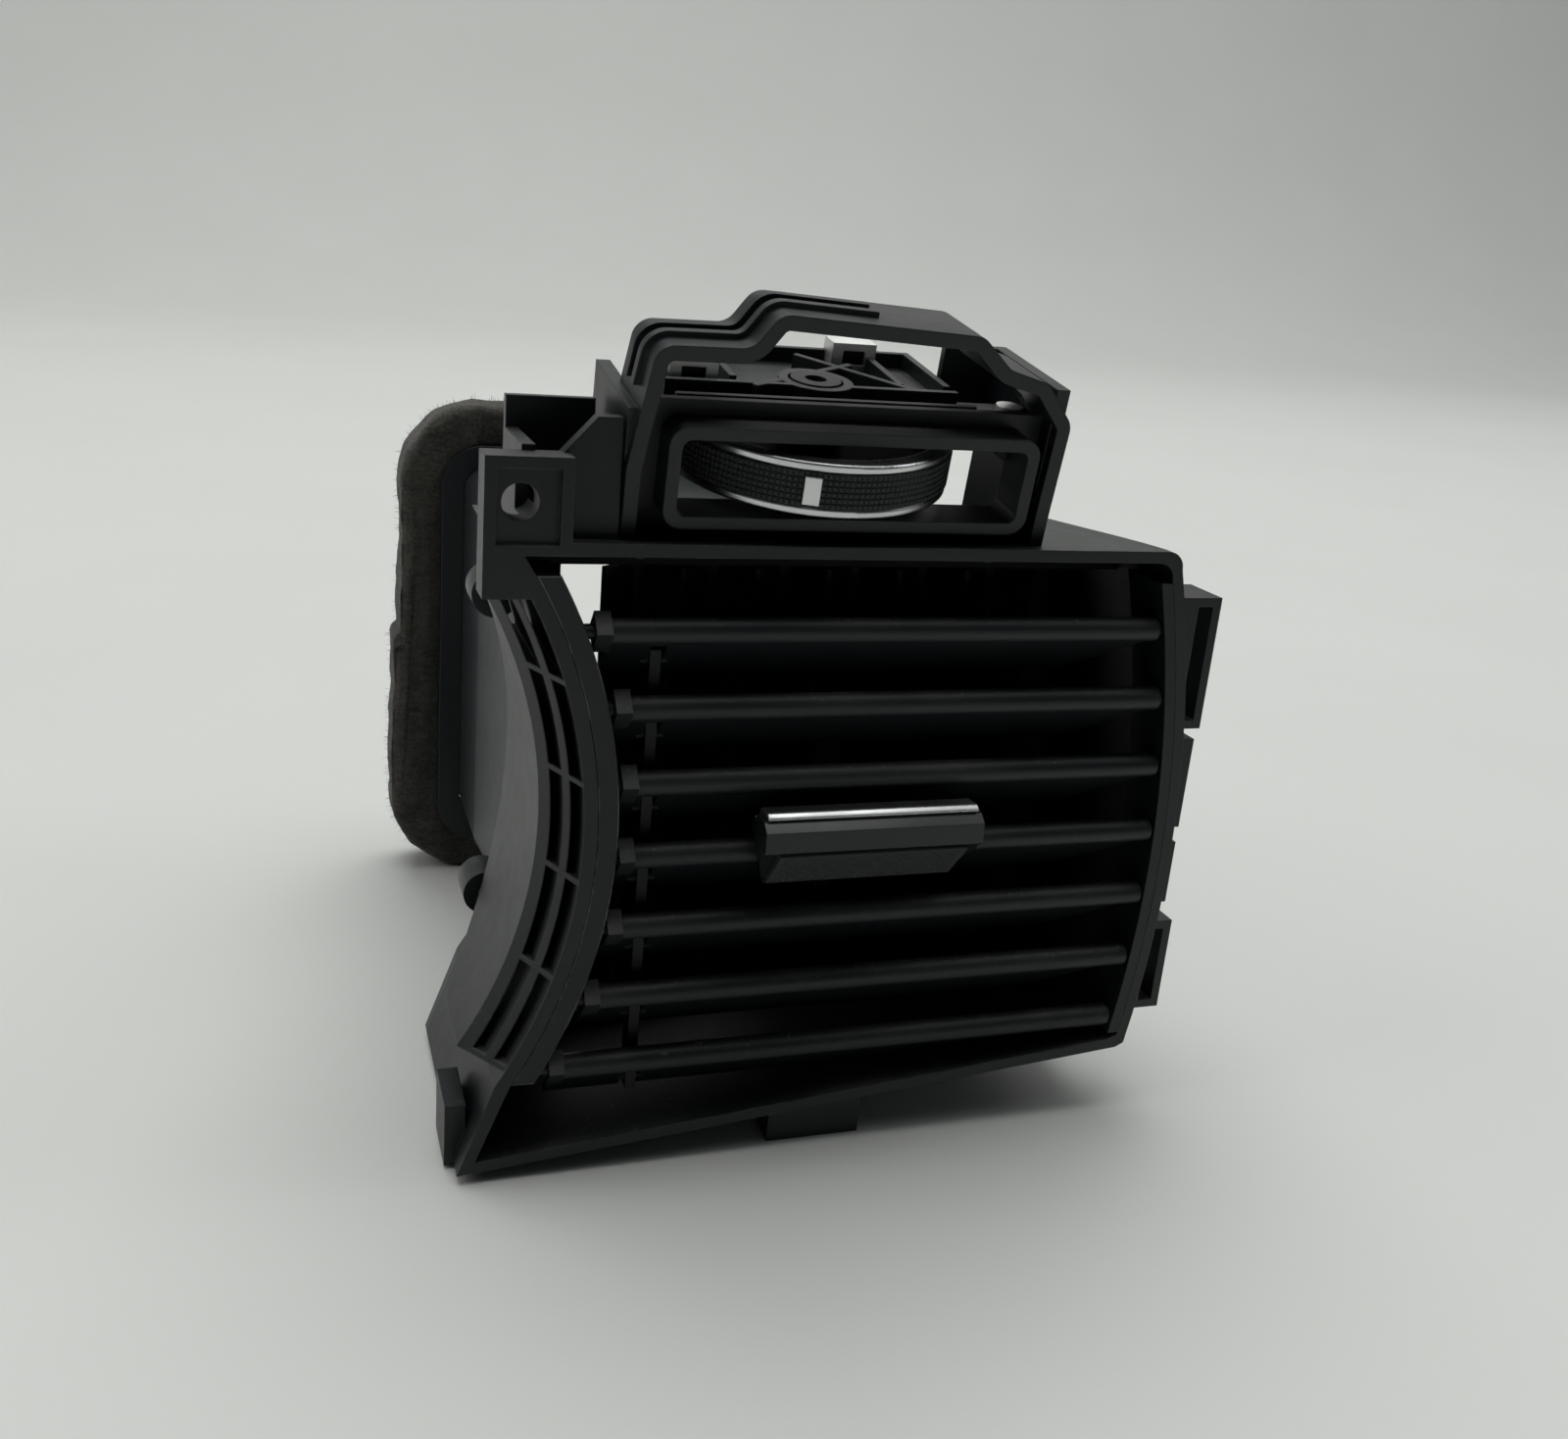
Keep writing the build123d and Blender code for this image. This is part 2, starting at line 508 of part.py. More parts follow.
for number, z in enumerate(VANE_Z, start=1):
    inner_r = carrier_outer - RIGHT_CARRIER
    hub_left = arc_limit(left_x, CARRIER_R, z, -VANE_NOSE_R, VANE_NOSE_R, max) + MOVE_GAP
    hub_right = arc_limit(right_x, inner_r, z, -VANE_NOSE_R, VANE_NOSE_R, min) - MOVE_GAP
    blade_left = arc_limit(left_x, CARRIER_R, z, -VANE_DROP, VANE_RISE, max) + MOVE_GAP
    blade_right = arc_limit(right_x, inner_r, z, -VANE_DROP, VANE_RISE, min) - MOVE_GAP
    with BuildPart() as front_vane:
        rod_x(hub_left, hub_right, 0, z, VANE_NOSE_R)
        with BuildSketch(vane_section(hub_left, z)):
            Rectangle(*VANE_CHEEK)
        extrude(amount=VANE_CHEEK_W)
        with BuildSketch(vane_plan(z)):
            with BuildLine():
                Polyline(
                    (blade_left, 0),
                    (blade_left, blade_room(z, blade_left)),
                    (VANE_BEND_X, blade_room(z, VANE_BEND_X)),
                    (blade_right - VANE_END_SLOPE, blade_room(z, blade_right - VANE_END_SLOPE)),
                    (blade_right, VANE_END_CHORD),
                    (blade_right, 0),
                    close=True,
                )
            make_face()
        extrude(amount=VANE_ROOT_T / 2, both=True)
        # The blade thins towards its rear edge on both faces
        with BuildSketch(vane_section(blade_left - 1, z)):
            for side in (1, -1):
                with BuildLine():
                    Polyline(
                        (VANE_NOSE_R, side * VANE_ROOT_T / 2),
                        (VANE_BLADE + 0.5, side * VANE_TIP_T / 2),
                        (VANE_BLADE + 0.5, side * VANE_ROOT_T),
                        (VANE_NOSE_R, side * VANE_ROOT_T),
                        close=True,
                    )
                make_face()
        extrude(amount=blade_right - blade_left + 2, mode=Mode.SUBTRACT)
        # Notch and cross pin for the tie bar
        with BuildSketch(vane_plan(z)):
            with Locations((LINK_X, (NOTCH_START + VANE_BLADE + 1) / 2)):
                Rectangle(LINK_T + 2 * MOVE_GAP, VANE_BLADE + 1 - NOTCH_START)
        extrude(amount=3, both=True, mode=Mode.SUBTRACT)
        with BuildSketch(vane_section(LINK_X - 2.2, z)):
            with Locations((LINK_PIN_REACH, 0)):
                Circle(LINK_PIN_R)
        extrude(amount=4.4)
        # Pivots at both ends
        rod_x(hub_left - 3.2, hub_left + 1, 0, z, VANE_PIN_R)
        rod_x(hub_right - 1, hub_right + 2.0, 0, z, VANE_PIN_R)
    save(front_vane, f"front_vane_{number}")

# Tie bar through the notches of all horizontal vanes
LINK_D = LINK_PIN_REACH * cos(radians(VANE_TILT))
LINK_DROP = LINK_PIN_REACH * sin(radians(VANE_TILT))
with BuildPart() as front_link:
    span(LINK_X - LINK_T / 2, LINK_X + LINK_T / 2, LINK_D - LINK_W / 2, LINK_D + LINK_W / 2,
         VANE_Z[-1] - LINK_DROP - LINK_W / 2, VANE_Z[0] - LINK_DROP + LINK_W / 2)
    for z in VANE_Z:
        rod_x(LINK_X - 3, LINK_X + 3, LINK_D, z - LINK_DROP, LINK_PIN_R + RUN_GAP, Mode.SUBTRACT)
save(front_link, "front_link")

# ---------------------------------------------------------------- upright vanes
SWING = radians(REAR_SWING)
for number, x in enumerate(REAR_X, start=1):
    hub_plane = Plane(
        origin=(x, FACE_Y + REAR_D, REAR_BOTTOM),
        x_dir=(sin(SWING), cos(SWING), 0),
        z_dir=(0, 0, 1),
    )
    with BuildPart() as rear_vane:
        with BuildSketch(hub_plane):
            with Locations(((REAR_BEHIND - REAR_AHEAD) / 2, 0)):
                SlotOverall(REAR_AHEAD + REAR_BEHIND, REAR_T)
            Circle(REAR_HUB_R)
        extrude(amount=REAR_TOP - REAR_BOTTOM)
        # Notch for the rear tie bar, open to the rear edge, with its upright pin
        with BuildSketch(hub_plane.offset(REAR_LINK_Z - REAR_BOTTOM - MOVE_GAP)):
            with Locations((REAR_BEHIND / 2 + 2.6, 0)):
                Rectangle(REAR_BEHIND, 6)
        extrude(amount=REAR_LINK_T + 2 * MOVE_GAP, mode=Mode.SUBTRACT)
        with BuildSketch(hub_plane.offset(REAR_LINK_Z - REAR_BOTTOM - 1)):
            with Locations((REAR_LINK_REACH, 0)):
                Circle(LINK_PIN_R)
        extrude(amount=REAR_LINK_T + 2)
        if number == DRIVE_VANE:
            notch_low, notch_high = DRIVE_NOTCH
            with BuildSketch(hub_plane.offset(notch_low - REAR_BOTTOM)):
                with Locations((-4.0, 0)):
                    Rectangle(14.0, 8)
            extrude(amount=notch_high - notch_low, mode=Mode.SUBTRACT)
            with BuildSketch(hub_plane.offset(notch_low - REAR_BOTTOM - 1)):
                with Locations((-REAR_AHEAD, 0)):
                    Circle(DRIVE_PIN_R)
            extrude(amount=notch_high - notch_low + 2)
        rod_z(x, REAR_D, REAR_BOTTOM - MOVE_GAP - 2.4, REAR_BOTTOM + 1, REAR_PIN_R)
        rod_z(x, REAR_D, REAR_TOP - 1, REAR_TOP + MOVE_GAP + 2.2, REAR_PIN_R)
    save(rear_vane, f"rear_vane_{number}")

link_dx = REAR_LINK_REACH * sin(SWING)
link_dd = REAR_LINK_REACH * cos(SWING)
with BuildPart() as rear_link:
    span(REAR_X[0] + link_dx - 2, REAR_X[-1] + link_dx + 2, REAR_D + link_dd - 2, REAR_D + link_dd + 2,
         REAR_LINK_Z, REAR_LINK_Z + REAR_LINK_T)
    for x in REAR_X:
        rod_z(x + link_dx, REAR_D + link_dd, REAR_LINK_Z - 1, REAR_LINK_Z + 3, LINK_PIN_R + RUN_GAP,
              Mode.SUBTRACT)
save(rear_link, "rear_link")

# ---------------------------------------------------------------- slider knob on the middle vane
SLIDER_Z = VANE_Z[SLIDER_VANE - 1]
SLIDER_TRAVEL = REAR_AHEAD * (sin(SWING) + sin(radians(REAR_TRAVEL) - SWING))
FORK_X = REAR_X[DRIVE_VANE - 1] - REAR_AHEAD * sin(SWING)
KNOB_LEFT, KNOB_RIGHT = SLIDER_X - SLIDER_W / 2, SLIDER_X + SLIDER_W / 2
KNOB_REAR = 9.0
KNOB_SECTION = [(-7.5, 3.2), (-9.9, 1.0), (-10.1, -2.0), (-7.6, -4.4), (3.0, -4.6), (KNOB_REAR, -2.6),
                (KNOB_REAR, 2.4), (7.6, 4.2), (0.0, 3.7)]
TRIM_SECTION = [(-6.2, 3.7), (-8.0, 3.9), (-10.6, 1.5), (-10.7, 0.2), (-9.8, 0.2), (-9.6, 0.8), (-7.6, 2.8),
                (-6.2, 2.9)]


def knob_plan():
    """Outline of the knob seen along the blade's face: wide in front, narrower behind."""
    with BuildLine() as path:
        Polyline(
            (KNOB_LEFT, -12),
            (KNOB_LEFT, -4),
            (KNOB_LEFT + 4.5, KNOB_REAR + 1),
            (KNOB_RIGHT - 4.5, KNOB_REAR + 1),
            (KNOB_RIGHT, -4),
            (KNOB_RIGHT, -12),
            close=True,
        )
    return path.edges()


plan_edges = knob_plan()
with BuildPart() as slider_fork:
    with BuildSketch(vane_plan(SLIDER_Z, VANE_TILT - FORK_ANGLE)):
        prong_in = DRIVE_PIN_R + FORK_SIDE_GAP
        prong_mid = prong_in + FORK_PRONG / 2
        with Locations((FORK_X, 8.75)):
            Rectangle(14, 5.5)
        for prong_x in (FORK_X - prong_mid, FORK_X + prong_mid):
            with Locations((prong_x, (8 + FORK_REACH) / 2)):
                Rectangle(FORK_PRONG, FORK_REACH - 8)
    extrude(amount=0.8, both=True)
save(slider_fork, "slider_fork")

with BuildPart() as slider_trim:
    with BuildSketch(vane_section(KNOB_LEFT + 0.6, SLIDER_Z)):
        with BuildLine():
            Polyline(*TRIM_SECTION, close=True)
        make_face()
    extrude(amount=SLIDER_W - 1.2)
save(slider_trim, "slider_trim")

with BuildPart() as slider_grip:
    with BuildSketch(vane_section(KNOB_LEFT + 2.6, SLIDER_Z)):
        with BuildLine():
            Polyline((-7.0, -4.0), (-7.0, -5.0), (2.4, -5.1), (2.4, -4.0), close=True)
        make_face()
    extrude(amount=SLIDER_W - 5.2)
save(slider_grip, "slider_grip")

with BuildPart() as slider_spring:
    with BuildSketch(vane_section(SLIDER_X - 7, SLIDER_Z)):
        with BuildLine():
            Polyline((3.0, -1.1), (7.4, -1.1), (7.4, -1.7), (3.0, -1.7), close=True)
        make_face()
    extrude(amount=14)
save(slider_spring, "slider_spring")

with BuildPart() as slider_body:
    with BuildSketch(vane_section(KNOB_LEFT, SLIDER_Z)):
        with BuildLine():
            Polyline(*KNOB_SECTION, close=True)
        make_face()
    extrude(amount=SLIDER_W)
    with BuildSketch(vane_plan(SLIDER_Z)):
        make_face(plan_edges)
    extrude(amount=8, both=True, mode=Mode.INTERSECT)
    # Rebates for the strip and the grip pad, the slot for the vane and the spring's pocket
    with BuildSketch(vane_section(KNOB_LEFT - 1, SLIDER_Z)):
        with BuildLine():
            Polyline(*TRIM_SECTION, close=True)
        make_face()
        offset(amount=RUN_GAP)
        with Locations((-2.3, -4.6)):
            Rectangle(9.6, 1.3)
        Circle(VANE_NOSE_R + 3 * RUN_GAP)
        with Locations((8, 0)):
            Rectangle(16, VANE_ROOT_T + 6 * RUN_GAP)
    extrude(amount=SLIDER_W + 2, mode=Mode.SUBTRACT)
    with BuildSketch(vane_section(SLIDER_X - 7.2, SLIDER_Z)):
        with Locations((5.2, -1.2)):
            Rectangle(4.8, 1.2)
    extrude(amount=14.4, mode=Mode.SUBTRACT)
    with BuildSketch(vane_plan(SLIDER_Z, VANE_TILT - FORK_ANGLE)):
        with Locations((FORK_X, 10)):
            Rectangle(14.2, 8.2)
    extrude(amount=0.8 + RUN_GAP, both=True, mode=Mode.SUBTRACT)
save(slider_body, "slider_body")

# ---------------------------------------------------------------- control bracket over the roof
# Ledges inside the bracket's cheeks carry the bridge, with one screw into each
LEDGE_X = (BRACKET_LEFT + BRACKET_WALL + LEDGE_IN, BRACKET_RIGHT - BRACKET_WALL - LEDGE_IN)
BRIDGE_SCREWS = [(ledge_x - WHEEL_X, BRIDGE_SCREW_Y) for ledge_x in LEDGE_X]




def lean(z):
    """Height along the bracket's leaning face for a height above the base."""
    return (z - BRACKET_Z) / cos(radians(TILT))


HOOP = [
    (BRACKET_LEFT, 100), (BRACKET_LEFT, 119), (-38.9, 137.6), (-24.6, 137.8),
    (-20.9, 143.0), (12.0, 141.6), (17.6, 136.8), (24.6, 135.0), (30.2, 128.6),
    (BRACKET_RIGHT, 113), (BRACKET_RIGHT, 100),
]
with BuildLine() as hoop_path:
    FilletPolyline(*[(x, lean(z)) for x, z in HOOP], radius=HOOP_CORNER, close=True)
hoop_edges = hoop_path.edges()

with BuildPart() as control_bracket:
    with BuildSketch(tilted()):
        make_face(hoop_edges)
        offset(amount=-BRACKET_WALL, mode=Mode.SUBTRACT)
    extrude(amount=-BRACKET_DEPTH)
    # Stepped ridges over the crown
    for ridge_depth in RIDGE_DEPTHS:
        with BuildSketch(tilted(ridge_depth)):
            make_face(hoop_edges)
            offset(amount=RIDGE_H)
            with Locations((-24, lean(152))):
                Rectangle(40, 2 * (152 - 130), mode=Mode.INTERSECT)
            make_face(hoop_edges, mode=Mode.SUBTRACT)
        extrude(amount=-RIDGE_W)
    # Web behind the face with the wheel's window, and the collar round that window
    with BuildSketch(tilted(5)):
        make_face(hoop_edges)
        with Locations((0, lean(WEB_TOP) - 30)):
            Rectangle(120, 60, mode=Mode.INTERSECT)
        rect_mid = ((BEZEL_LEFT + BEZEL_RIGHT) / 2, (lean(BEZEL_LOW) + lean(BEZEL_HIGH)) / 2)
        with Locations(rect_mid):
            RectangleRounded(BEZEL_RIGHT - BEZEL_LEFT - 2 * BEZEL_WALL,
                             lean(BEZEL_HIGH) - lean(BEZEL_LOW) - 2 * BEZEL_WALL, BEZEL_HOLE_CORNER,
                             mode=Mode.SUBTRACT)
    extrude(amount=-WEB_WALL)
    with BuildSketch(tilted(-BEZEL_OUT)):
        with Locations(rect_mid):
            RectangleRounded(BEZEL_RIGHT - BEZEL_LEFT, lean(BEZEL_HIGH) - lean(BEZEL_LOW), BEZEL_CORNER)
            RectangleRounded(BEZEL_RIGHT - BEZEL_LEFT - 2 * BEZEL_WALL,
                             lean(BEZEL_HIGH) - lean(BEZEL_LOW) - 2 * BEZEL_WALL, BEZEL_HOLE_CORNER,
                             mode=Mode.SUBTRACT)
    extrude(amount=-BEZEL_DEPTH)
    # Side cheeks reach back beside the wheel and carry the ledges for the bridge
    for cheek_x, cheek_top in ((BRACKET_LEFT, CHEEK_TOP), (BRACKET_RIGHT - BRACKET_WALL, CHEEK_TOP + 6)):
        with BuildSketch(tilted(2)):
            with Locations((cheek_x + BRACKET_WALL / 2, (cheek_top - 11) / 2)):
                Rectangle(BRACKET_WALL, cheek_top + 11)
        extrude(amount=-(CHEEK_DEPTH - 2))
    with BuildSketch(tilted(CHEEK_DEPTH - 1.6)):
        with Locations((BRACKET_RIGHT - 6, 19.5)):
            Rectangle(12, 15)
    extrude(amount=-1.6)
    ledge_top = BRIDGE_LIFT + (Vector(0, WHEEL_D - BRACKET_D, WHEEL_Z - BRACKET_Z)).dot(TILT_UP)
    with BuildSketch(tilted(6)):
        for ledge_x in LEDGE_X:
            with Locations((ledge_x, ledge_top - LEDGE_H / 2)):
                Rectangle(LEDGE_W, LEDGE_H)
    extrude(amount=-12)
    # Feet on the roof
    for foot_x in FOOT_X:
        span(foot_x - FOOT_HALF_W, foot_x + FOOT_HALF_W, FOOT_D - FOOT_REACH, FOOT_D + FOOT_HALF_W,
             HOUSING_TOP - 2 * WALL, roof_z(FOOT_D - FOOT_REACH) + FOOT_T)
        rod_z(foot_x, FOOT_D, 100, 112, SCREW_R + RUN_GAP, Mode.SUBTRACT)
    add(housing_envelope.part, mode=Mode.SUBTRACT)
    with BuildSketch(wheel_plane(BRIDGE_LIFT - BRIDGE_SCREW_BITE - 1.5)):
        with Locations(*BRIDGE_SCREWS):
            Circle(SCREW_R + RUN_GAP)
    extrude(amount=BRIDGE_SCREW_BITE + 2, mode=Mode.SUBTRACT)
    with BuildSketch(wheel_plane(BRIDGE_LIFT)):
        with Locations(*BRIDGE_SCREWS):
            Circle(BRIDGE_HEAD_R + MOVE_GAP / 2)
    extrude(amount=6, mode=Mode.SUBTRACT)
save(control_bracket, "control_bracket")

# ---------------------------------------------------------------- bridge, axle and thumbwheel
BRIDGE_LEFT = BRACKET_LEFT + BRACKET_WALL + BRIDGE_SIDE_GAP - WHEEL_X
BRIDGE_RIGHT = BRACKET_RIGHT - BRACKET_WALL - BRIDGE_SIDE_GAP - WHEEL_X
with BuildPart() as wheel_bridge:
    with BuildSketch(wheel_plane(BRIDGE_LIFT)):
        with Locations(((BRIDGE_LEFT + BRIDGE_RIGHT) / 2, (BRIDGE_FRONT + 0) / 2)):
            Rectangle(BRIDGE_RIGHT - BRIDGE_LEFT, -BRIDGE_FRONT)
        with Locations((-1, BRIDGE_BACK / 2 - 0.5)):
            Rectangle(50, BRIDGE_BACK + 1)
    extrude(amount=BRIDGE_T)
    with BuildSketch(wheel_plane(BRIDGE_LIFT)):
        Circle(6.2)
        for rib_x in (-25.4, -14, 15, 23.4):
            with Locations((rib_x, BRIDGE_BACK / 2)):
                Rectangle(1.2, BRIDGE_BACK)
        for rib_y in (BRIDGE_FRONT + 0.6, -3, BRIDGE_BACK - 0.6):
            with Locations((-1, rib_y)):
                Rectangle(50, 1.2)
        with Locations(Location((-1, 3), 35)):
            Rectangle(26, 1.2)
        with Locations(Location((9, 6), -50)):
            Rectangle(24, 1.2)
    extrude(amount=BRIDGE_T + BRIDGE_RIB)
    # Gaps in the ribs, and upright tabs for the spring clips
    with BuildSketch(wheel_plane(BRIDGE_LIFT + BRIDGE_T)):
        with Locations(*CLIP_PLACES):
            Rectangle(CLIP_W + 2 * SEAT_GAP, CLIP_DEPTH + 2 * SEAT_GAP)
    extrude(amount=2 * BRIDGE_RIB, mode=Mode.SUBTRACT)
    with BuildSketch(wheel_plane(BRIDGE_LIFT)):
        with Locations(*CLIP_PLACES):
            Rectangle(CLIP_TAB_W, CLIP_TAB_T)
    extrude(amount=BRIDGE_T + CLIP_TAB_H)
    with BuildSketch(wheel_plane(BRIDGE_LIFT - 1)):
        Circle(AXLE_R + RUN_GAP)
        with Locations(*BRIDGE_SCREWS):
            Circle(SCREW_HOLE_R)
    extrude(amount=9, mode=Mode.SUBTRACT)
    with BuildSketch(wheel_plane(BRIDGE_LIFT + BRIDGE_T + 1.2)):
        Circle(4.6)
    extrude(amount=4, mode=Mode.SUBTRACT)
save(wheel_bridge, "wheel_bridge")

with BuildPart() as spring_clips:
    with BuildSketch(wheel_plane(BRIDGE_LIFT + BRIDGE_T + SEAT_GAP)):
        with Locations(*CLIP_PLACES):
            Rectangle(CLIP_W, CLIP_DEPTH)
    extrude(amount=CLIP_H)
    # Folded from sheet: open below, with a window in front and behind
    with BuildSketch(wheel_plane(BRIDGE_LIFT + BRIDGE_T)):
        with Locations(*CLIP_PLACES):
            Rectangle(CLIP_W - 2 * CLIP_SHEET, CLIP_DEPTH - 2 * CLIP_SHEET)
    extrude(amount=CLIP_H - CLIP_SHEET + SEAT_GAP, mode=Mode.SUBTRACT)
    with BuildSketch(wheel_plane(BRIDGE_LIFT + BRIDGE_T + 2 * CLIP_SHEET)):
        with Locations(*CLIP_PLACES):
            Rectangle(CLIP_W / 2, 2 * CLIP_DEPTH)
    extrude(amount=CLIP_H - 4 * CLIP_SHEET, mode=Mode.SUBTRACT)
save(spring_clips, "spring_clips")

with BuildPart() as wheel_core:
    with BuildSketch(wheel_plane(-WHEEL_H / 2 + 1.5)):
        Circle(WHEEL_R - 1.8)
    extrude(amount=WHEEL_H - 3)
    # Shallow dish on both faces leaves a hub and a rim
    for dish_low in (WHEEL_H / 2 - 2.9, -WHEEL_H / 2 + 1.4):
        with BuildSketch(wheel_plane(dish_low)):
            Circle(WHEEL_R - 4.4)
            Circle(AXLE_R + 3.2, mode=Mode.SUBTRACT)
        extrude(amount=1.5, mode=Mode.SUBTRACT)
    # Crank pin for the control rod
    with BuildSketch(wheel_plane(-(WHEEL_Z - ROD_LOW) - 1.2)):
        with Locations((CRANK_R * cos(radians(CRANK_ANGLE)), CRANK_R * sin(radians(CRANK_ANGLE)))):
            Circle(1.4)
    extrude(amount=WHEEL_Z - ROD_LOW + 0.4)
    # The hub reaches up to the bridge, which keeps the wheel level
    with BuildSketch(wheel_plane(0)):
        Circle(AXLE_R + 3.2)
    extrude(amount=BRIDGE_LIFT - 0.25)
    with BuildSketch(wheel_plane(-WHEEL_H)):
        Circle(AXLE_R + RUN_GAP)
    extrude(amount=2 * WHEEL_H, mode=Mode.SUBTRACT)
save(wheel_core, "wheel_core")

with BuildPart() as wheel_grip:
    with BuildSketch(wheel_plane(-WHEEL_H / 2 + 1.5)):
        Circle(WHEEL_R)
        Circle(WHEEL_R - 1.8 + RUN_GAP, mode=Mode.SUBTRACT)
    extrude(amount=WHEEL_H - 3)
    with BuildSketch(wheel_plane(-MARKER_H / 2)):
        with Locations(Location((0, 0), MARKER_ANGLE)):
            with Locations((WHEEL_R, 0)):
                Rectangle(1.6, MARKER_W)
    extrude(amount=MARKER_H, mode=Mode.SUBTRACT)
save(wheel_grip, "wheel_grip")

for name, ring_low in (("wheel_ring_top", WHEEL_H / 2 - 1.5), ("wheel_ring_bottom", -WHEEL_H / 2)):
    with BuildPart() as wheel_ring:
        with BuildSketch(wheel_plane(ring_low)):
            Circle(WHEEL_R - 0.2)
            Circle(WHEEL_R - 3.0, mode=Mode.SUBTRACT)
        extrude(amount=1.5)
        fillet(wheel_ring.edges().filter_by(GeomType.CIRCLE).group_by(SortBy.RADIUS)[-1], 0.5)
    save(wheel_ring, name)

with BuildPart() as wheel_marker:
    with BuildSketch(wheel_plane(-MARKER_H / 2 + RUN_GAP)):
        with Locations(Location((0, 0), MARKER_ANGLE)):
            with Locations((WHEEL_R - 0.05, 0)):
                Rectangle(1.3, MARKER_W - 2 * RUN_GAP)
    extrude(amount=MARKER_H - 2 * RUN_GAP)
save(wheel_marker, "wheel_marker")

AXLE_HEAD_TOP = BRIDGE_LIFT + BRIDGE_T + 1.2 + 1.6
with BuildPart() as wheel_axle:
    with BuildSketch(wheel_plane(-WHEEL_H / 2 - 1.6)):
        Circle(AXLE_R)
    extrude(amount=AXLE_HEAD_TOP + WHEEL_H / 2 + 1.6)
    with BuildSketch(wheel_plane(AXLE_HEAD_TOP - 1.5)):
        Circle(4.2)
    extrude(amount=1.5)
    with BuildSketch(wheel_plane(AXLE_HEAD_TOP - AXLE_DIMPLE)):
        Circle(AXLE_DIMPLE_R)
    extrude(amount=AXLE_DIMPLE, mode=Mode.SUBTRACT)
save(wheel_axle, "wheel_axle")

with BuildPart() as axle_clip:
    with BuildSketch(wheel_plane(-WHEEL_H / 2 + 0.45)):
        Circle(4.4)
        Circle(AXLE_R + RUN_GAP, mode=Mode.SUBTRACT)
    extrude(amount=0.8)
save(axle_clip, "axle_clip")

with BuildPart() as bridge_screws:
    with BuildSketch(wheel_plane(BRIDGE_LIFT - BRIDGE_SCREW_BITE)):
        with Locations(*BRIDGE_SCREWS):
            Circle(SCREW_R)
    extrude(amount=BRIDGE_SCREW_BITE + BRIDGE_T + SEAT_GAP)
    with BuildSketch(wheel_plane(BRIDGE_LIFT + BRIDGE_T + SEAT_GAP / 2)):
        with Locations(*BRIDGE_SCREWS):
            Circle(BRIDGE_HEAD_R)
    extrude(amount=SCREW_HEAD_H)
save(bridge_screws, "bridge_screws")

with BuildPart() as bracket_screws:
    for foot_x in FOOT_X:
        foot_top = roof_z(FOOT_D - FOOT_REACH) + FOOT_T
        rod_z(foot_x, FOOT_D, roof_z(FOOT_D) - 4, foot_top + SEAT_GAP, SCREW_R)
        rod_z(foot_x, FOOT_D, foot_top + SEAT_GAP / 2, foot_top + SCREW_HEAD_H + SEAT_GAP, BRACKET_HEAD_R)
save(bracket_screws, "bracket_screws")

# ---------------------------------------------------------------- rear duct, collar and seal
with BuildPart() as duct_air:
    with BuildSketch(facing(HOUSING_DEPTH)):
        rectangle(THROAT_LEFT, THROAT_RIGHT, THROAT_LOW, THROAT_HIGH, NECK_CORNER)
    with BuildSketch(facing(NECK_D)):
        rectangle(NECK_LEFT, NECK_RIGHT, NECK_LOW, NECK_HIGH, NECK_CORNER)
    loft()
    with BuildSketch(facing(NECK_D)):
        rectangle(NECK_LEFT, NECK_RIGHT, NECK_LOW, NECK_HIGH, NECK_CORNER)
    extrude(amount=-(SEAL_BACK - NECK_D + 5))

NECK_END = SEAL_BACK - 4.0
with BuildPart() as rear_duct:
    with BuildSketch(facing(HOUSING_DEPTH)):
        make_face(outer_edges)
    extrude(amount=-DUCT_FLANGE_T)
    split(bisect_by=roof_plane(), keep=Keep.BOTTOM)
    with BuildSketch(facing(HOUSING_DEPTH)):
        rectangle(THROAT_LEFT - WALL, THROAT_RIGHT + WALL, THROAT_LOW - WALL, THROAT_HIGH + WALL,
                  NECK_CORNER + WALL)
    with BuildSketch(facing(NECK_D)):
        rectangle(NECK_LEFT - WALL, NECK_RIGHT + WALL, NECK_LOW - WALL, NECK_HIGH + WALL,
                  NECK_CORNER + WALL)
    loft()
    with BuildSketch(facing(NECK_D)):
        rectangle(NECK_LEFT - WALL, NECK_RIGHT + WALL, NECK_LOW - WALL, NECK_HIGH + WALL,
                  NECK_CORNER + WALL)
    extrude(amount=-(NECK_END - NECK_D))
    for lug_x, lug_z in LUGS:
        rod_y(lug_x, lug_z, HOUSING_DEPTH, HOUSING_DEPTH + DUCT_FLANGE_T, LUG_R)
    # Shaft tower above the roof and the blind bearing under the floor
    rod_z(FLAP_X, FLAP_D, NECK_HIGH - 4, ROD_LOW - 3.6, FLAP_SHAFT_R + 2.2)
    rod_z(FLAP_X, FLAP_D, NECK_LOW - 6, NECK_LOW + 1, FLAP_SHAFT_R + 2.2)
    add(duct_air.part, mode=Mode.SUBTRACT)
    rod_z(FLAP_X, FLAP_D, NECK_LOW - 3, 130, FLAP_SHAFT_R + RUN_GAP, Mode.SUBTRACT)
    for lug_x, lug_z in LUGS:
        rod_y(lug_x, lug_z, HOUSING_DEPTH - 1, HOUSING_DEPTH + DUCT_FLANGE_T + 1, SCREW_HOLE_R,
              Mode.SUBTRACT)
save(rear_duct, "rear_duct")

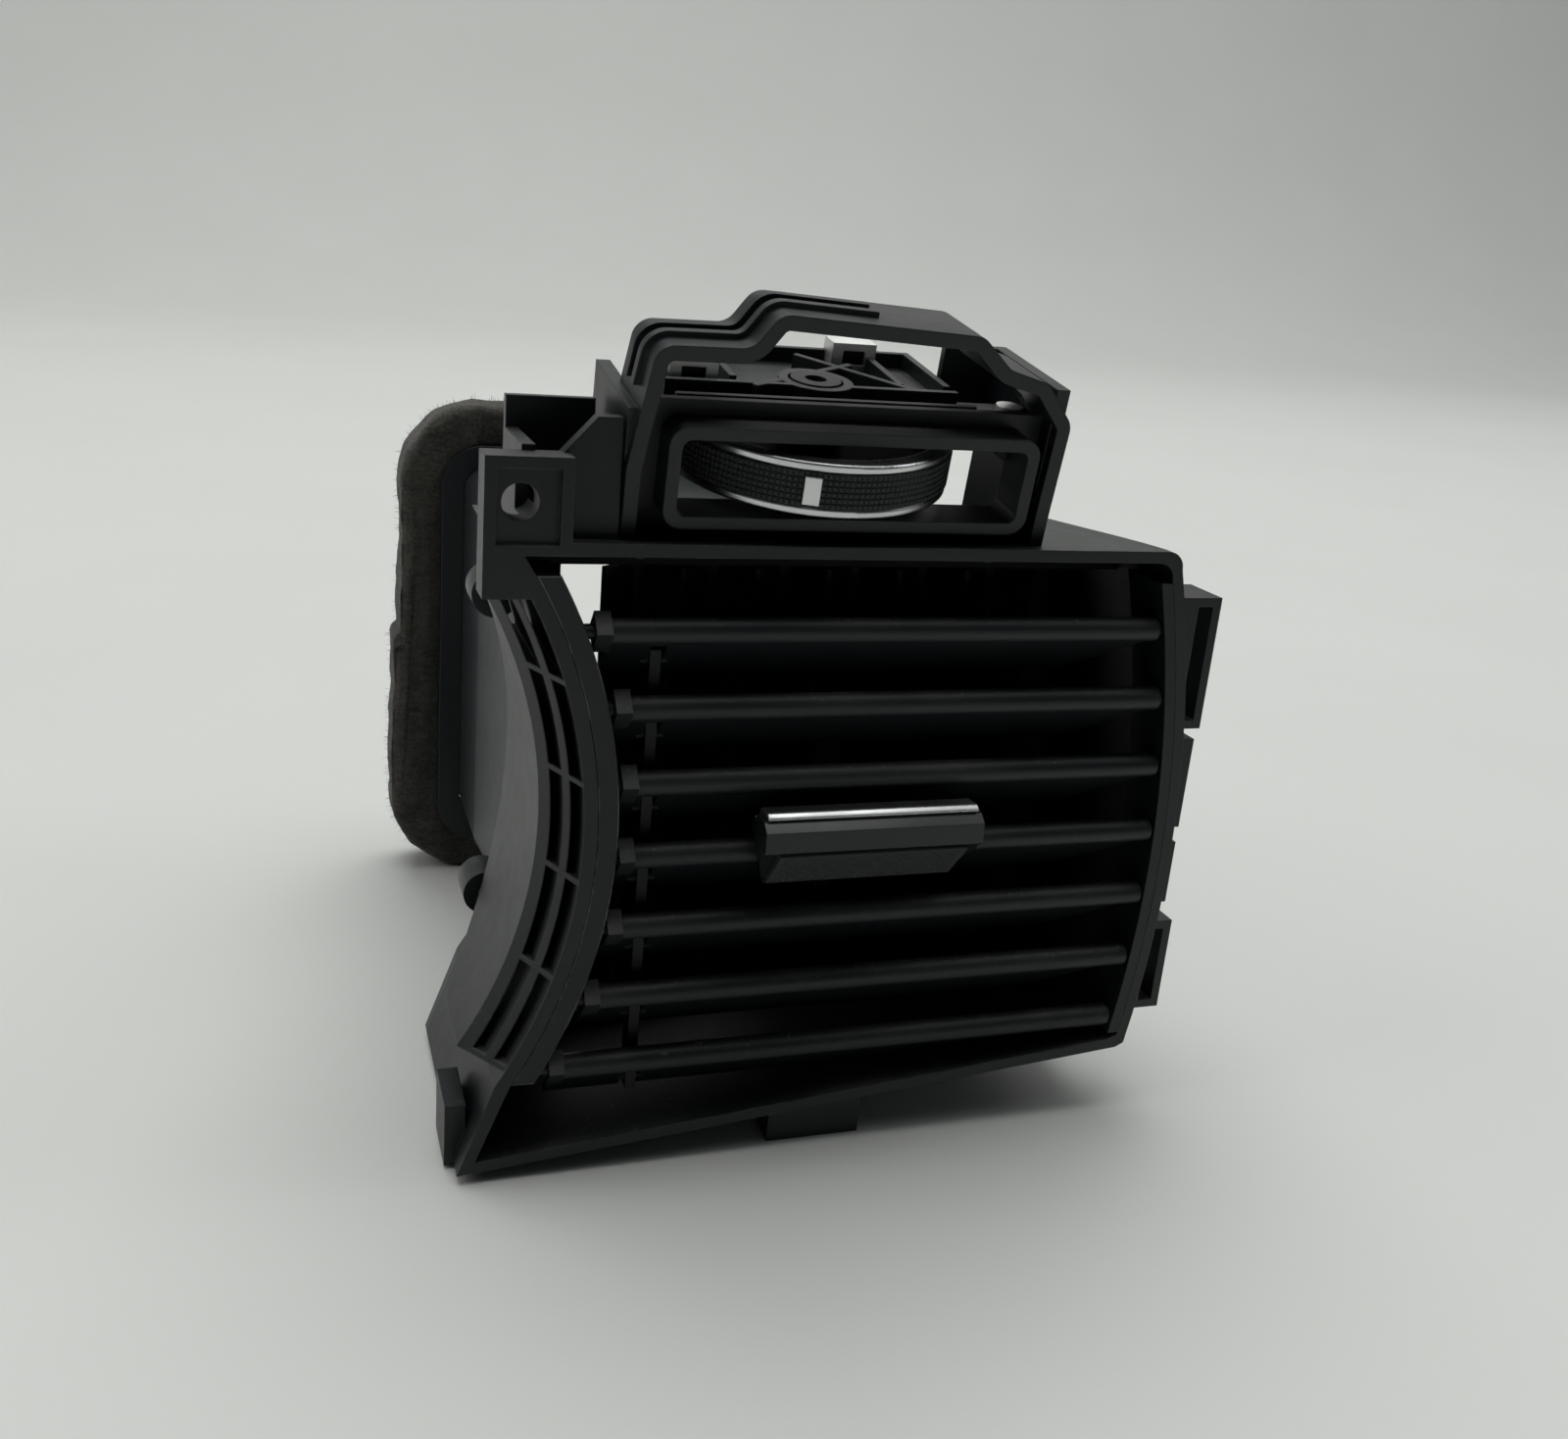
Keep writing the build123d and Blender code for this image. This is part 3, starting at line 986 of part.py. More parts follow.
with BuildPart() as case_screws:
    for lug_x, lug_z in LUGS:
        seat = HOUSING_DEPTH + DUCT_FLANGE_T
        rod_y(lug_x, lug_z, HOUSING_DEPTH - LUG_T + 0.5, seat + 0.1, SCREW_R)
        rod_y(lug_x, lug_z, seat, seat + CASE_HEAD_H, SCREW_HEAD_R)
save(case_screws, "case_screws")

with BuildPart() as duct_collar:
    with BuildSketch(facing(COLLAR_FRONT)):
        rectangle(COLLAR_LEFT, COLLAR_RIGHT, COLLAR_LOW, COLLAR_HIGH, COLLAR_CORNER)
    extrude(amount=-(SEAL_BACK - COLLAR_FRONT))
    with BuildSketch(facing(COLLAR_FRONT + COLLAR_WALL)):
        rectangle(COLLAR_LEFT + COLLAR_WALL, COLLAR_RIGHT - COLLAR_WALL, COLLAR_LOW + COLLAR_WALL,
                  COLLAR_HIGH - COLLAR_WALL, COLLAR_CORNER - COLLAR_WALL)
    extrude(amount=-(SEAL_BACK - COLLAR_FRONT), mode=Mode.SUBTRACT)
    neck_grip = WALL + SEAT_GAP
    with BuildSketch(facing(COLLAR_FRONT - 1)):
        rectangle(NECK_LEFT - neck_grip, NECK_RIGHT + neck_grip, NECK_LOW - neck_grip,
                  NECK_HIGH + neck_grip, NECK_CORNER + neck_grip)
    extrude(amount=-30, mode=Mode.SUBTRACT)
save(duct_collar, "duct_collar")

with BuildPart() as duct_seal:
    with BuildSketch(facing(SEAL_FRONT)):
        rectangle(COLLAR_LEFT - SEAL_T, COLLAR_RIGHT + SEAL_T, COLLAR_LOW - SEAL_T, COLLAR_HIGH + SEAL_T,
                  COLLAR_CORNER + SEAL_T)
    extrude(amount=-(SEAL_BACK - SEAL_FRONT))
    with BuildSketch(facing(SEAL_FRONT)):
        rectangle(COLLAR_LEFT - SEAT_GAP, COLLAR_RIGHT + SEAT_GAP, COLLAR_LOW - SEAT_GAP,
                  COLLAR_HIGH + SEAT_GAP, COLLAR_CORNER + SEAT_GAP)
    extrude(amount=-(SEAL_BACK - SEAL_FRONT), mode=Mode.SUBTRACT)
save(duct_seal, "duct_seal")

# ---------------------------------------------------------------- shut-off flap and its linkage
FLAP_DIR = (cos(radians(FLAP_REST)), sin(radians(FLAP_REST)), 0)


def flap_plane(z):
    """Level plane on the flap's axis, with x along the flap."""
    return Plane(origin=(FLAP_X, FACE_Y + FLAP_D, z), x_dir=FLAP_DIR, z_dir=(0, 0, 1))


DOOR_LOW, DOOR_HIGH = NECK_LOW + 3.0, NECK_HIGH - 3.0
with BuildPart() as flap_door:
    with BuildSketch(flap_plane(DOOR_LOW)):
        with Locations(((FLAP_W - FLAP_LIP) / 2, 0)):
            Rectangle(FLAP_W - FLAP_LIP, FLAP_T)
        Circle(FLAP_SHAFT_R + 0.2)
        Circle(FLAP_SHAFT_R - 0.6, mode=Mode.SUBTRACT)
    extrude(amount=DOOR_HIGH - DOOR_LOW)
save(flap_door, "flap_door")

with BuildPart() as flap_shaft:
    rod_z(FLAP_X, FLAP_D, NECK_LOW - 2.9, DOOR_LOW - 0.05, FLAP_SHAFT_R)
    rod_z(FLAP_X, FLAP_D, DOOR_LOW - 0.1, DOOR_HIGH + 0.1, FLAP_SHAFT_R - 0.65)
    rod_z(FLAP_X, FLAP_D, DOOR_HIGH + 0.05, ROD_LOW - 0.6, FLAP_SHAFT_R)
save(flap_shaft, "flap_shaft")

with BuildPart() as flap_seal:
    with BuildSketch(flap_plane(DOOR_LOW - FLAP_LIP + 0.2)):
        with Locations(((FLAP_W + 6) / 2, 0)):
            Rectangle(FLAP_W - 6, FLAP_T + 1.4)
    extrude(amount=DOOR_HIGH - DOOR_LOW + 2 * FLAP_LIP - 0.4)
    with BuildSketch(flap_plane(DOOR_LOW + 1.6)):
        with Locations(((FLAP_W - FLAP_LIP - 1.6) / 2, 0)):
            Rectangle(FLAP_W - FLAP_LIP - 1.6, 12)
    extrude(amount=DOOR_HIGH - DOOR_LOW - 3.2, mode=Mode.SUBTRACT)
    with BuildSketch(flap_plane(DOOR_LOW - RUN_GAP)):
        with Locations(((FLAP_W - FLAP_LIP) / 2, 0)):
            Rectangle(FLAP_W - FLAP_LIP + 2 * RUN_GAP, FLAP_T + 2 * RUN_GAP)
    extrude(amount=DOOR_HIGH - DOOR_LOW + 2 * RUN_GAP, mode=Mode.SUBTRACT)
save(flap_seal, "flap_seal")

CRANK_DX = CRANK_R * cos(radians(CRANK_ANGLE))
CRANK_DY = CRANK_R * sin(radians(CRANK_ANGLE))
with BuildPart() as flap_crank:
    with BuildSketch(Plane((FLAP_X, FACE_Y + FLAP_D, ROD_LOW - 3.0))):
        with Locations(Location((CRANK_DX / 2, CRANK_DY / 2), CRANK_ANGLE)):
            SlotCenterToCenter(CRANK_R, 8.4)
        Circle(FLAP_SHAFT_R + RUN_GAP, mode=Mode.SUBTRACT)
    extrude(amount=2.4)
    rod_z(FLAP_X + CRANK_DX, FLAP_D + CRANK_DY, ROD_LOW - 1.0, ROD_HIGH + 1.6, SCREW_R)
save(flap_crank, "flap_crank")

# The wheel's axis leans, so the rod meets it further back at its own level
WHEEL_AXIS_D = WHEEL_D + tan(radians(TILT)) * (WHEEL_Z - (ROD_LOW + ROD_HIGH) / 2)
ROD_DX, ROD_DY = FLAP_X - WHEEL_X, FLAP_D - WHEEL_AXIS_D
with BuildPart() as control_rod:
    rod_start = Plane((WHEEL_X + CRANK_DX, FACE_Y + WHEEL_AXIS_D + CRANK_DY, ROD_LOW))
    with BuildSketch(rod_start):
        with Locations(Location((ROD_DX / 2, ROD_DY / 2), degrees(atan2(ROD_DY, ROD_DX)))):
            SlotCenterToCenter(hypot(ROD_DX, ROD_DY), ROD_W)
        Circle(3.6)
        with Locations((ROD_DX, ROD_DY)):
            Circle(3.2)
            Circle(SCREW_R + RUN_GAP, mode=Mode.SUBTRACT)
        Circle(2.0, mode=Mode.SUBTRACT)
    extrude(amount=ROD_HIGH - ROD_LOW)
save(control_rod, "control_rod")

with BuildPart() as rod_clip:
    rod_z(FLAP_X + CRANK_DX, FLAP_D + CRANK_DY, ROD_HIGH + 0.4, ROD_HIGH + 1.2, 3.0)
    rod_z(FLAP_X + CRANK_DX, FLAP_D + CRANK_DY, ROD_HIGH, ROD_HIGH + 2, SCREW_R + RUN_GAP, Mode.SUBTRACT)
save(rod_clip, "rod_clip")
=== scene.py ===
# %% [markdown]
# # A dashboard air vent, dressed in Blender
# The construction of the vent comes from a fixed CAD frame: housing, vanes, thumbwheel, duct and flap are
# already at their real size and place. This lesson gives them their finish, rounds and knurls the pieces that
# a hand touches, and makes the soft felt seal. Everything is in metres, with Z up and Y along the air duct.

import json
import math
import random

import bmesh
import bpy
from mathutils import Matrix, Vector, noise


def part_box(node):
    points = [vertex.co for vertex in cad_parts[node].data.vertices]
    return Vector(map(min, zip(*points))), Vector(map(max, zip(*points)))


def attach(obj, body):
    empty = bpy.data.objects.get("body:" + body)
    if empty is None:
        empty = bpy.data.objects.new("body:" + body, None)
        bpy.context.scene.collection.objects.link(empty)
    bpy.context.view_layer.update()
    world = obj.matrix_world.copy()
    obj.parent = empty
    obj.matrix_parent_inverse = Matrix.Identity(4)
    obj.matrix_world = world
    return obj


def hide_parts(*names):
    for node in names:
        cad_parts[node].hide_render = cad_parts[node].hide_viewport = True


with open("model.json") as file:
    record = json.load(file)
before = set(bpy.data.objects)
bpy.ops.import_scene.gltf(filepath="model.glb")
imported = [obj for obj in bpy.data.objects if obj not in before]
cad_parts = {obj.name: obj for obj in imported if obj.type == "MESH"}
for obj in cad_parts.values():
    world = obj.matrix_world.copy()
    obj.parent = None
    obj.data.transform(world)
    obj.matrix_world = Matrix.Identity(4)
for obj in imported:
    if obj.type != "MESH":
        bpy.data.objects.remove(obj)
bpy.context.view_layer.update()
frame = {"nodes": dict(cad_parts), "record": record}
nodes = frame["nodes"]
MM = 0.001

# %% [markdown]
# ## Camera
# The vent is looked at from its left and a little above, from about 30 cm away, so the perspective is strong.
# The camera's own axes are written out as three directions: to its right, up, and against its view. Written
# that way, the turn is easy to check, where three angles would hide which way the camera faces.

# %% Place the camera
CAMERA_PLACE = Vector((-0.0935, -0.2838, 0.156))
SENSOR_WIDTH = 36.0
LENS_LENGTH = 34.875

camera_data = bpy.data.cameras.new("camera")
camera_data.sensor_width = SENSOR_WIDTH
camera_data.lens = LENS_LENGTH
camera = bpy.data.objects.new("camera", camera_data)
bpy.context.scene.collection.objects.link(camera)
to_right = Vector((0.94564, -0.31426, 0.08365))
view_way = Vector((0.32437, 0.89316, -0.31151))
to_right.normalize()
view_way.normalize()
upwards = to_right.cross(view_way).normalized()
turn = Matrix((to_right, upwards, -view_way)).transposed().to_4x4()
camera.matrix_world = Matrix.Translation(CAMERA_PLACE) @ turn
bpy.context.scene.camera = camera
print("camera with a lens of", LENS_LENGTH, "mm at", [round(value, 3) for value in CAMERA_PLACE])

# %% [markdown]
# ## Shader arithmetic
# Materials are easier to read as sums than as boxes and wires. A Signal wraps one shader socket, and its
# operators add Math nodes. A Recipe is one material: its `node` method adds any other node, and its short
# methods stand for the groups of nodes that every finish of this vent shares.

# %% Wrap a socket as a signal
class Signal:
    """A shader socket that can be added, subtracted and multiplied."""

    def __init__(self, recipe, socket):
        self.recipe = recipe
        self.socket = socket

    def combine(self, operation, left, right, clamp=False):
        settings = {"operation": operation, "use_clamp": clamp}
        return self.recipe.node("ShaderNodeMath", settings, {0: left, 1: right})[0]

    def __add__(self, other):
        return self.combine("ADD", self, other)

    def __radd__(self, other):
        return self.combine("ADD", other, self)

    def __sub__(self, other):
        return self.combine("SUBTRACT", self, other)

    def __rsub__(self, other):
        return self.combine("SUBTRACT", other, self)

    def __mul__(self, other):
        return self.combine("MULTIPLY", self, other)

    def __rmul__(self, other):
        return self.combine("MULTIPLY", other, self)

    def clamp(self):
        return self.combine("ADD", self, 0.0, clamp=True)


print("signals ready")

# %% Write a material as a recipe
OBJECT_OUTPUT = 3
MIX_FACTOR, MIX_FIRST, MIX_SECOND, MIX_RESULT = 0, 6, 7, 2
NORMAL_OUTPUT, DOT_OUTPUT = 1, 1


class Recipe:
    """A node material made from named steps."""

    def __init__(self, name):
        self.material = bpy.data.materials.new(name)
        self.material.use_nodes = True
        self.tree = self.material.node_tree
        self.shader = self.tree.nodes["Principled BSDF"]

    def node(self, kind, settings=None, inputs=None):
        """Add a node, set its settings, feed its sockets, and return its outputs as signals."""
        made = self.tree.nodes.new(kind)
        for key, value in (settings or {}).items():
            setattr(made, key, value)
        for key, value in (inputs or {}).items():
            self.feed(made.inputs[key], value)
        return [Signal(self, socket) for socket in made.outputs]

    def feed(self, socket, value):
        if isinstance(value, Signal):
            self.tree.links.new(value.socket, socket)
        else:
            socket.default_value = value

    def set(self, **values):
        """Set the shader's own sockets: spaces in their names are written as underscores."""
        for key, value in values.items():
            self.feed(self.shader.inputs[key.replace("_", " ")], value)
        return self.material

    def place(self):
        return self.node("ShaderNodeTexCoord")[OBJECT_OUTPUT]

    def grain(self, scale, detail=3.0, roughness=0.55, place=None):
        """Noise on the object's own coordinates, scale in waves per metre."""
        inputs = {"Vector": place or self.place(), "Scale": scale, "Detail": detail, "Roughness": roughness}
        return self.node("ShaderNodeTexNoise", None, inputs)[0]

    def step(self, value, low, high):
        """0 below low, 1 above high, smooth between."""
        settings = {"interpolation_type": "SMOOTHSTEP"}
        return self.node("ShaderNodeMapRange", settings, {0: value, 1: low, 2: high})[0]

    def blend(self, factor, first, second):
        """Mix two colours."""
        settings = {"data_type": "RGBA", "blend_type": "MIX"}
        inputs = {MIX_FACTOR: factor, MIX_FIRST: first, MIX_SECOND: second}
        return self.node("ShaderNodeMix", settings, inputs)[MIX_RESULT]

    def bump(self, height, distance, strength=1.0, normal=None):
        inputs = {"Height": height, "Distance": distance, "Strength": strength}
        if normal:
            inputs["Normal"] = normal
        return self.node("ShaderNodeBump", None, inputs)[0]

    def rounded_normal(self, radius):
        """A normal that makes sharp edges look rounded."""
        return self.node("ShaderNodeBevel", {"samples": 4}, {"Radius": radius})[0]

    def edge_mask(self, rounded):
        """Where the rounded normal leaves the plain one: along the edges."""
        plain = self.node("ShaderNodeNewGeometry")[NORMAL_OUTPUT]
        settings = {"operation": "DOT_PRODUCT"}
        return 1 - self.node("ShaderNodeVectorMath", settings, {0: rounded, 1: plain})[DOT_OUTPUT]


def scaled(colour, factor):
    """A colour with its three channels multiplied, opaque."""
    return tuple(channel * factor for channel in colour[:3]) + (1,)


print("recipes ready")

# %% [markdown]
# ## Backdrop
# The vent lies on a plain pale table that sweeps up behind it without an edge. One long edge is extruded back,
# spun through a quarter circle and extruded up, as a roll of paper is hung in a studio. The sweep is wide
# enough that its ends stay out of sight.

# %% Sweep the backdrop
FLOOR_REACH = 1.6
SWEEP_RADIUS = 0.8
HALF_WIDTH = 7.0
WALL_HEIGHT = 2.5
SWEEP_STEPS = 24
TABLE_CLOUD_SCALE = 6.0


def moved_verts(geometry):
    """The vertices among what an extrusion made."""
    return [item for item in geometry if isinstance(item, bmesh.types.BMVert)]


sweep = bmesh.new()
front_line = [sweep.verts.new((side * HALF_WIDTH, -FLOOR_REACH, 0)) for side in (-1, 1)]
extruded = bmesh.ops.extrude_edge_only(sweep, edges=[sweep.edges.new(front_line)])["geom"]
back_line = moved_verts(extruded)
bmesh.ops.translate(sweep, verts=back_line, vec=(0, 2 * FLOOR_REACH, 0))
back_edges = [item for item in extruded if isinstance(item, bmesh.types.BMEdge)]
bmesh.ops.spin(sweep, geom=back_edges + back_line, cent=(0, FLOOR_REACH, SWEEP_RADIUS), axis=(1, 0, 0),
               angle=math.radians(90), steps=SWEEP_STEPS)
sweep_top = max(vert.co.z for vert in sweep.verts)
top_edges = [item for item in sweep.edges if all(vert.co.z > sweep_top - 0.01 * MM for vert in item.verts)]
extruded = bmesh.ops.extrude_edge_only(sweep, edges=top_edges)["geom"]
bmesh.ops.translate(sweep, verts=moved_verts(extruded), vec=(0, 0, WALL_HEIGHT))
floor_mesh = bpy.data.meshes.new("floor")
sweep.to_mesh(floor_mesh)
sweep.free()
for face in floor_mesh.polygons:
    face.use_smooth = True
floor = bpy.data.objects.new("floor", floor_mesh)
bpy.context.scene.collection.objects.link(floor)

table_paint = Recipe("table_paint")
table_cloud = table_paint.grain(TABLE_CLOUD_SCALE, detail=2.0)
table_shade = table_paint.blend(table_cloud, (0.62, 0.625, 0.605, 1), (0.66, 0.665, 0.645, 1))
floor_mesh.materials.append(table_paint.set(Base_Color=table_shade, Roughness=0.6, Specular_IOR_Level=0.25))
print("backdrop", len(floor_mesh.polygons), "faces")

# %% [markdown]
# ## Light
# The light is soft daylight. One large lamp hangs overhead and slightly behind, a weak one fills from the
# left, and a third washes the wall behind on the right. The world is bright above and behind the vent and dark
# where the viewer stands, so the black plastic shows its form by pale reflections on its upward faces.

# %% Hang the lamps
MIDDLE = (0, 0, 0.06)
WALL_SPOT = (2.4, 2.2, 0.6)


def lamp(name, place, target, size, power, colour):
    """A large square lamp that faces a point."""
    data = bpy.data.lights.new(name, "AREA")
    data.shape = "SQUARE"
    data.size = size
    data.energy = power
    data.color = colour
    made = bpy.data.objects.new(name, data)
    bpy.context.scene.collection.objects.link(made)
    made.location = place
    made.rotation_euler = (Vector(target) - Vector(place)).to_track_quat("-Z", "Y").to_euler()
    print("lamp", name, power, "W")


lamp("sky_window", (0.1, 0.6, 2.4), MIDDLE, size=2.4, power=51, colour=(0.99, 1.0, 0.985))
lamp("left_fill", (-1.6, 0.1, 1.2), MIDDLE, size=1.0, power=5.0, colour=(1.0, 0.99, 0.97))
lamp("wall_wash", (2.6, -0.2, 2.2), WALL_SPOT, size=1.6, power=21, colour=(0.98, 1.0, 0.99))

# %% Shade the world
WORLD_LIFT = 0.75
WORLD_BRIGHT_FROM = 0.75
WORLD_STRENGTH = 0.6

world = bpy.data.worlds.new("pale_room")
world.use_nodes = True
room = world.node_tree
world_direction = room.nodes.new("ShaderNodeTexCoord")
axes = room.nodes.new("ShaderNodeSeparateXYZ")
room.links.new(world_direction.outputs["Generated"], axes.inputs[0])
brightness = room.nodes.new("ShaderNodeMath")
brightness.operation = "MULTIPLY_ADD"
brightness.inputs[1].default_value = WORLD_LIFT
room.links.new(axes.outputs["Z"], brightness.inputs[0])
room.links.new(axes.outputs["Y"], brightness.inputs[2])
ramp = room.nodes.new("ShaderNodeValToRGB")
dark_end, bright_end = ramp.color_ramp.elements
dark_end.position = 0.0
dark_end.color = (0.05, 0.055, 0.06, 1)
bright_end.position = WORLD_BRIGHT_FROM
bright_end.color = (0.82, 0.85, 0.85, 1)
room.links.new(brightness.outputs[0], ramp.inputs[0])
background = room.nodes["Background"]
room.links.new(ramp.outputs["Color"], background.inputs["Color"])
background.inputs["Strength"].default_value = WORLD_STRENGTH
bpy.context.scene.world = world
bpy.context.scene.view_settings.view_transform = "Standard"
print("world strength", WORLD_STRENGTH)

# %% [markdown]
# ## Moulded plastics
# The housing is black ABS with a faint blue cast and a fine spark-eroded texture. Years in a car have greyed
# its edges and left dust on its upward faces, so the recipe lightens rounded edges in patches and adds a thin
# dust that follows how far a surface faces up. One function makes each variant of this plastic.

# %% Mix the plastics
SCUFF_PATCH_SCALE = 95.0
MOTTLE_SCALE = 38.0
DUST_SPECK_SCALE = 900.0
DUST_FILM_SCALE = 24.0
FINE_TEXTURE_SCALE = 3200.0
COARSE_TEXTURE_SCALE = 260.0
MOTTLE_GAIN = 1.9
DUST_COLOUR = (0.33, 0.32, 0.29, 1)


def facing_up(recipe):
    """How far the surface faces up, from 0 to 1."""
    normal = recipe.node("ShaderNodeNewGeometry")[NORMAL_OUTPUT]
    height = recipe.node("ShaderNodeSeparateXYZ", None, {0: normal})[2]
    return height.clamp()


def moulded_plastic(name, colour, wear_colour, rough, texture, wear, dust, edge_radius):
    """Black plastic: texture is the bump's depth, wear and dust are amounts."""
    recipe = Recipe(name)
    rounded = recipe.rounded_normal(edge_radius)
    edges = recipe.edge_mask(rounded)
    patches = recipe.step(recipe.grain(SCUFF_PATCH_SCALE, detail=6.0, roughness=0.7), 0.44, 0.66)
    scuffs = (recipe.step(edges, 0.03, 0.22) * patches * wear).clamp()
    mottled = recipe.grain(MOTTLE_SCALE, detail=5.0)
    body = recipe.blend(mottled * 0.55, colour, scaled(colour, MOTTLE_GAIN))
    worn = recipe.blend(scuffs, body, wear_colour)
    specks = recipe.step(recipe.grain(DUST_SPECK_SCALE, detail=4.0, roughness=0.75), 0.60, 0.74)
    film = recipe.step(recipe.grain(DUST_FILM_SCALE, detail=5.0, roughness=0.6), 0.35, 0.8)
    dusty = ((specks * 0.8 + film * 0.35) * facing_up(recipe) * dust).clamp()
    final = recipe.blend(dusty, worn, DUST_COLOUR)
    fine = recipe.grain(FINE_TEXTURE_SCALE, detail=2.0)
    coarse = recipe.grain(COARSE_TEXTURE_SCALE, detail=4.0)
    normal = recipe.bump(fine * 0.7 + coarse * 0.3, texture, 0.35, rounded)
    gloss = rough + (coarse - 0.5) * 0.12 + dusty * 0.3
    return recipe.set(Base_Color=final, Roughness=gloss, Normal=normal, Specular_IOR_Level=0.4)


PALE_SCUFF = (0.10, 0.105, 0.105, 1)
case_plastic = moulded_plastic("case_plastic", (0.0042, 0.0058, 0.0072, 1), PALE_SCUFF,
                               rough=0.42, texture=0.06 * MM, wear=0.85, dust=0.40, edge_radius=0.35 * MM)
vane_plastic = moulded_plastic("vane_plastic", (0.0036, 0.0052, 0.0064, 1), (0.045, 0.05, 0.05, 1),
                               rough=0.46, texture=0.07 * MM, wear=0.5, dust=0.55, edge_radius=0.2 * MM)
worn_plastic = moulded_plastic("worn_plastic", (0.0055, 0.0075, 0.009, 1), (0.30, 0.30, 0.29, 1),
                               rough=0.5, texture=0.12 * MM, wear=1.6, dust=0.5, edge_radius=0.4 * MM)
duct_plastic = moulded_plastic("duct_plastic", (0.009, 0.0125, 0.0145, 1), PALE_SCUFF,
                               rough=0.38, texture=0.05 * MM, wear=0.5, dust=0.55, edge_radius=0.4 * MM)
# painted shade: a darker, duller copy of the black plastic for the pieces that sit in shadow inside the vent
painted_shade_plastic = moulded_plastic("painted_shade_plastic", (0.0024, 0.0032, 0.004, 1), (0.02, 0.021, 0.021, 1),
                                rough=0.6, texture=0.07 * MM, wear=0.3, dust=0.5, edge_radius=0.2 * MM)
knob_plastic = moulded_plastic("knob_plastic", (0.006, 0.0075, 0.0085, 1), (0.06, 0.062, 0.062, 1),
                               rough=0.30, texture=0.02 * MM, wear=0.25, dust=0.12, edge_radius=0.2 * MM)
print("plastics mixed")

# %% [markdown]
# ## Plated metals
# The wheel's rings and the knob's strip are plastic with a satin plating, greyer than polished chrome. Screws
# and clips are zinc plated steel, a little rougher. Both have smudges that dull the colour in patches.

# %% Mix the metals
SMUDGE_SCALE = 60.0
METAL_EDGE_RADIUS = 0.25 * MM


def satin_metal(name, colour, rough, haze_scale):
    recipe = Recipe(name)
    rounded = recipe.rounded_normal(METAL_EDGE_RADIUS)
    haze = recipe.grain(haze_scale, detail=5.0, roughness=0.6)
    fine = recipe.grain(haze_scale * 14, detail=2.0)
    smudge = recipe.step(recipe.grain(SMUDGE_SCALE, detail=4.0), 0.45, 0.75)
    smudged = recipe.blend(smudge * 0.5, colour, scaled(colour, 0.6))
    normal = recipe.bump(fine, 0.01 * MM, 0.4, rounded)
    return recipe.set(Base_Color=smudged, Metallic=1.0, Roughness=rough + (haze - 0.5) * 0.2, Normal=normal)


satin_chrome = satin_metal("satin_chrome", (0.62, 0.63, 0.63, 1), rough=0.30, haze_scale=120.0)
zinc_steel = satin_metal("zinc_steel", (0.80, 0.80, 0.78, 1), rough=0.46, haze_scale=300.0)
print("metals mixed")

# %% [markdown]
# ## Felt and rubber
# The felt is a mat of brown grey fibres, so its colour and its bump both come from noise at fibre scale,
# stretched once along the duct and once across it. Rubber is darker and dull, with grime in its pores.

# %% Mix the felt and the rubbers
FIBRE_SCALE = 1500.0
CROSSING_SCALE = 1100.0
TUFT_SCALE = 150.0
GRIME_SCALE = 700.0
RUBBER_EDGE_RADIUS = 0.15 * MM


def fibre_felt(name):
    recipe = Recipe(name)
    place = recipe.place()
    stretched = recipe.node("ShaderNodeMapping", None, {"Vector": place, "Scale": (1.0, 0.25, 1.0)})[0]
    fibres = recipe.grain(FIBRE_SCALE, detail=6.0, roughness=0.75, place=stretched)
    crossed = recipe.node("ShaderNodeMapping", None, {"Vector": place, "Scale": (0.3, 1.0, 1.0)})[0]
    crossing = recipe.grain(CROSSING_SCALE, detail=5.0, roughness=0.7, place=crossed)
    tufts = recipe.grain(TUFT_SCALE, detail=4.0)
    dark, pale = (0.020, 0.019, 0.016, 1), (0.115, 0.108, 0.092, 1)
    mat = recipe.step(fibres * 0.5 + crossing * 0.3 + tufts * 0.3, 0.38, 0.75)
    normal = recipe.bump(fibres + crossing * 0.6 + tufts, 0.6 * MM, 0.9)
    return recipe.set(Base_Color=recipe.blend(mat, dark, pale), Roughness=0.95, Normal=normal,
                      Specular_IOR_Level=0.15, Sheen_Weight=0.25)


def soft_rubber(name, colour, rough):
    recipe = Recipe(name)
    rounded = recipe.rounded_normal(RUBBER_EDGE_RADIUS)
    grime = recipe.grain(GRIME_SCALE, detail=5.0, roughness=0.7)
    grimy = recipe.blend(recipe.step(grime, 0.5, 0.8) * 0.6, colour, scaled(colour, 2.6))
    normal = recipe.bump(grime, 0.06 * MM, 0.5, rounded)
    return recipe.set(Base_Color=grimy, Roughness=rough + grime * 0.1, Normal=normal)


felt = fibre_felt("felt")
grip_rubber = soft_rubber("grip_rubber", (0.014, 0.016, 0.017, 1), rough=0.62)
lip_rubber = soft_rubber("lip_rubber", (0.008, 0.008, 0.009, 1), rough=0.6)
print("felt and rubber mixed")
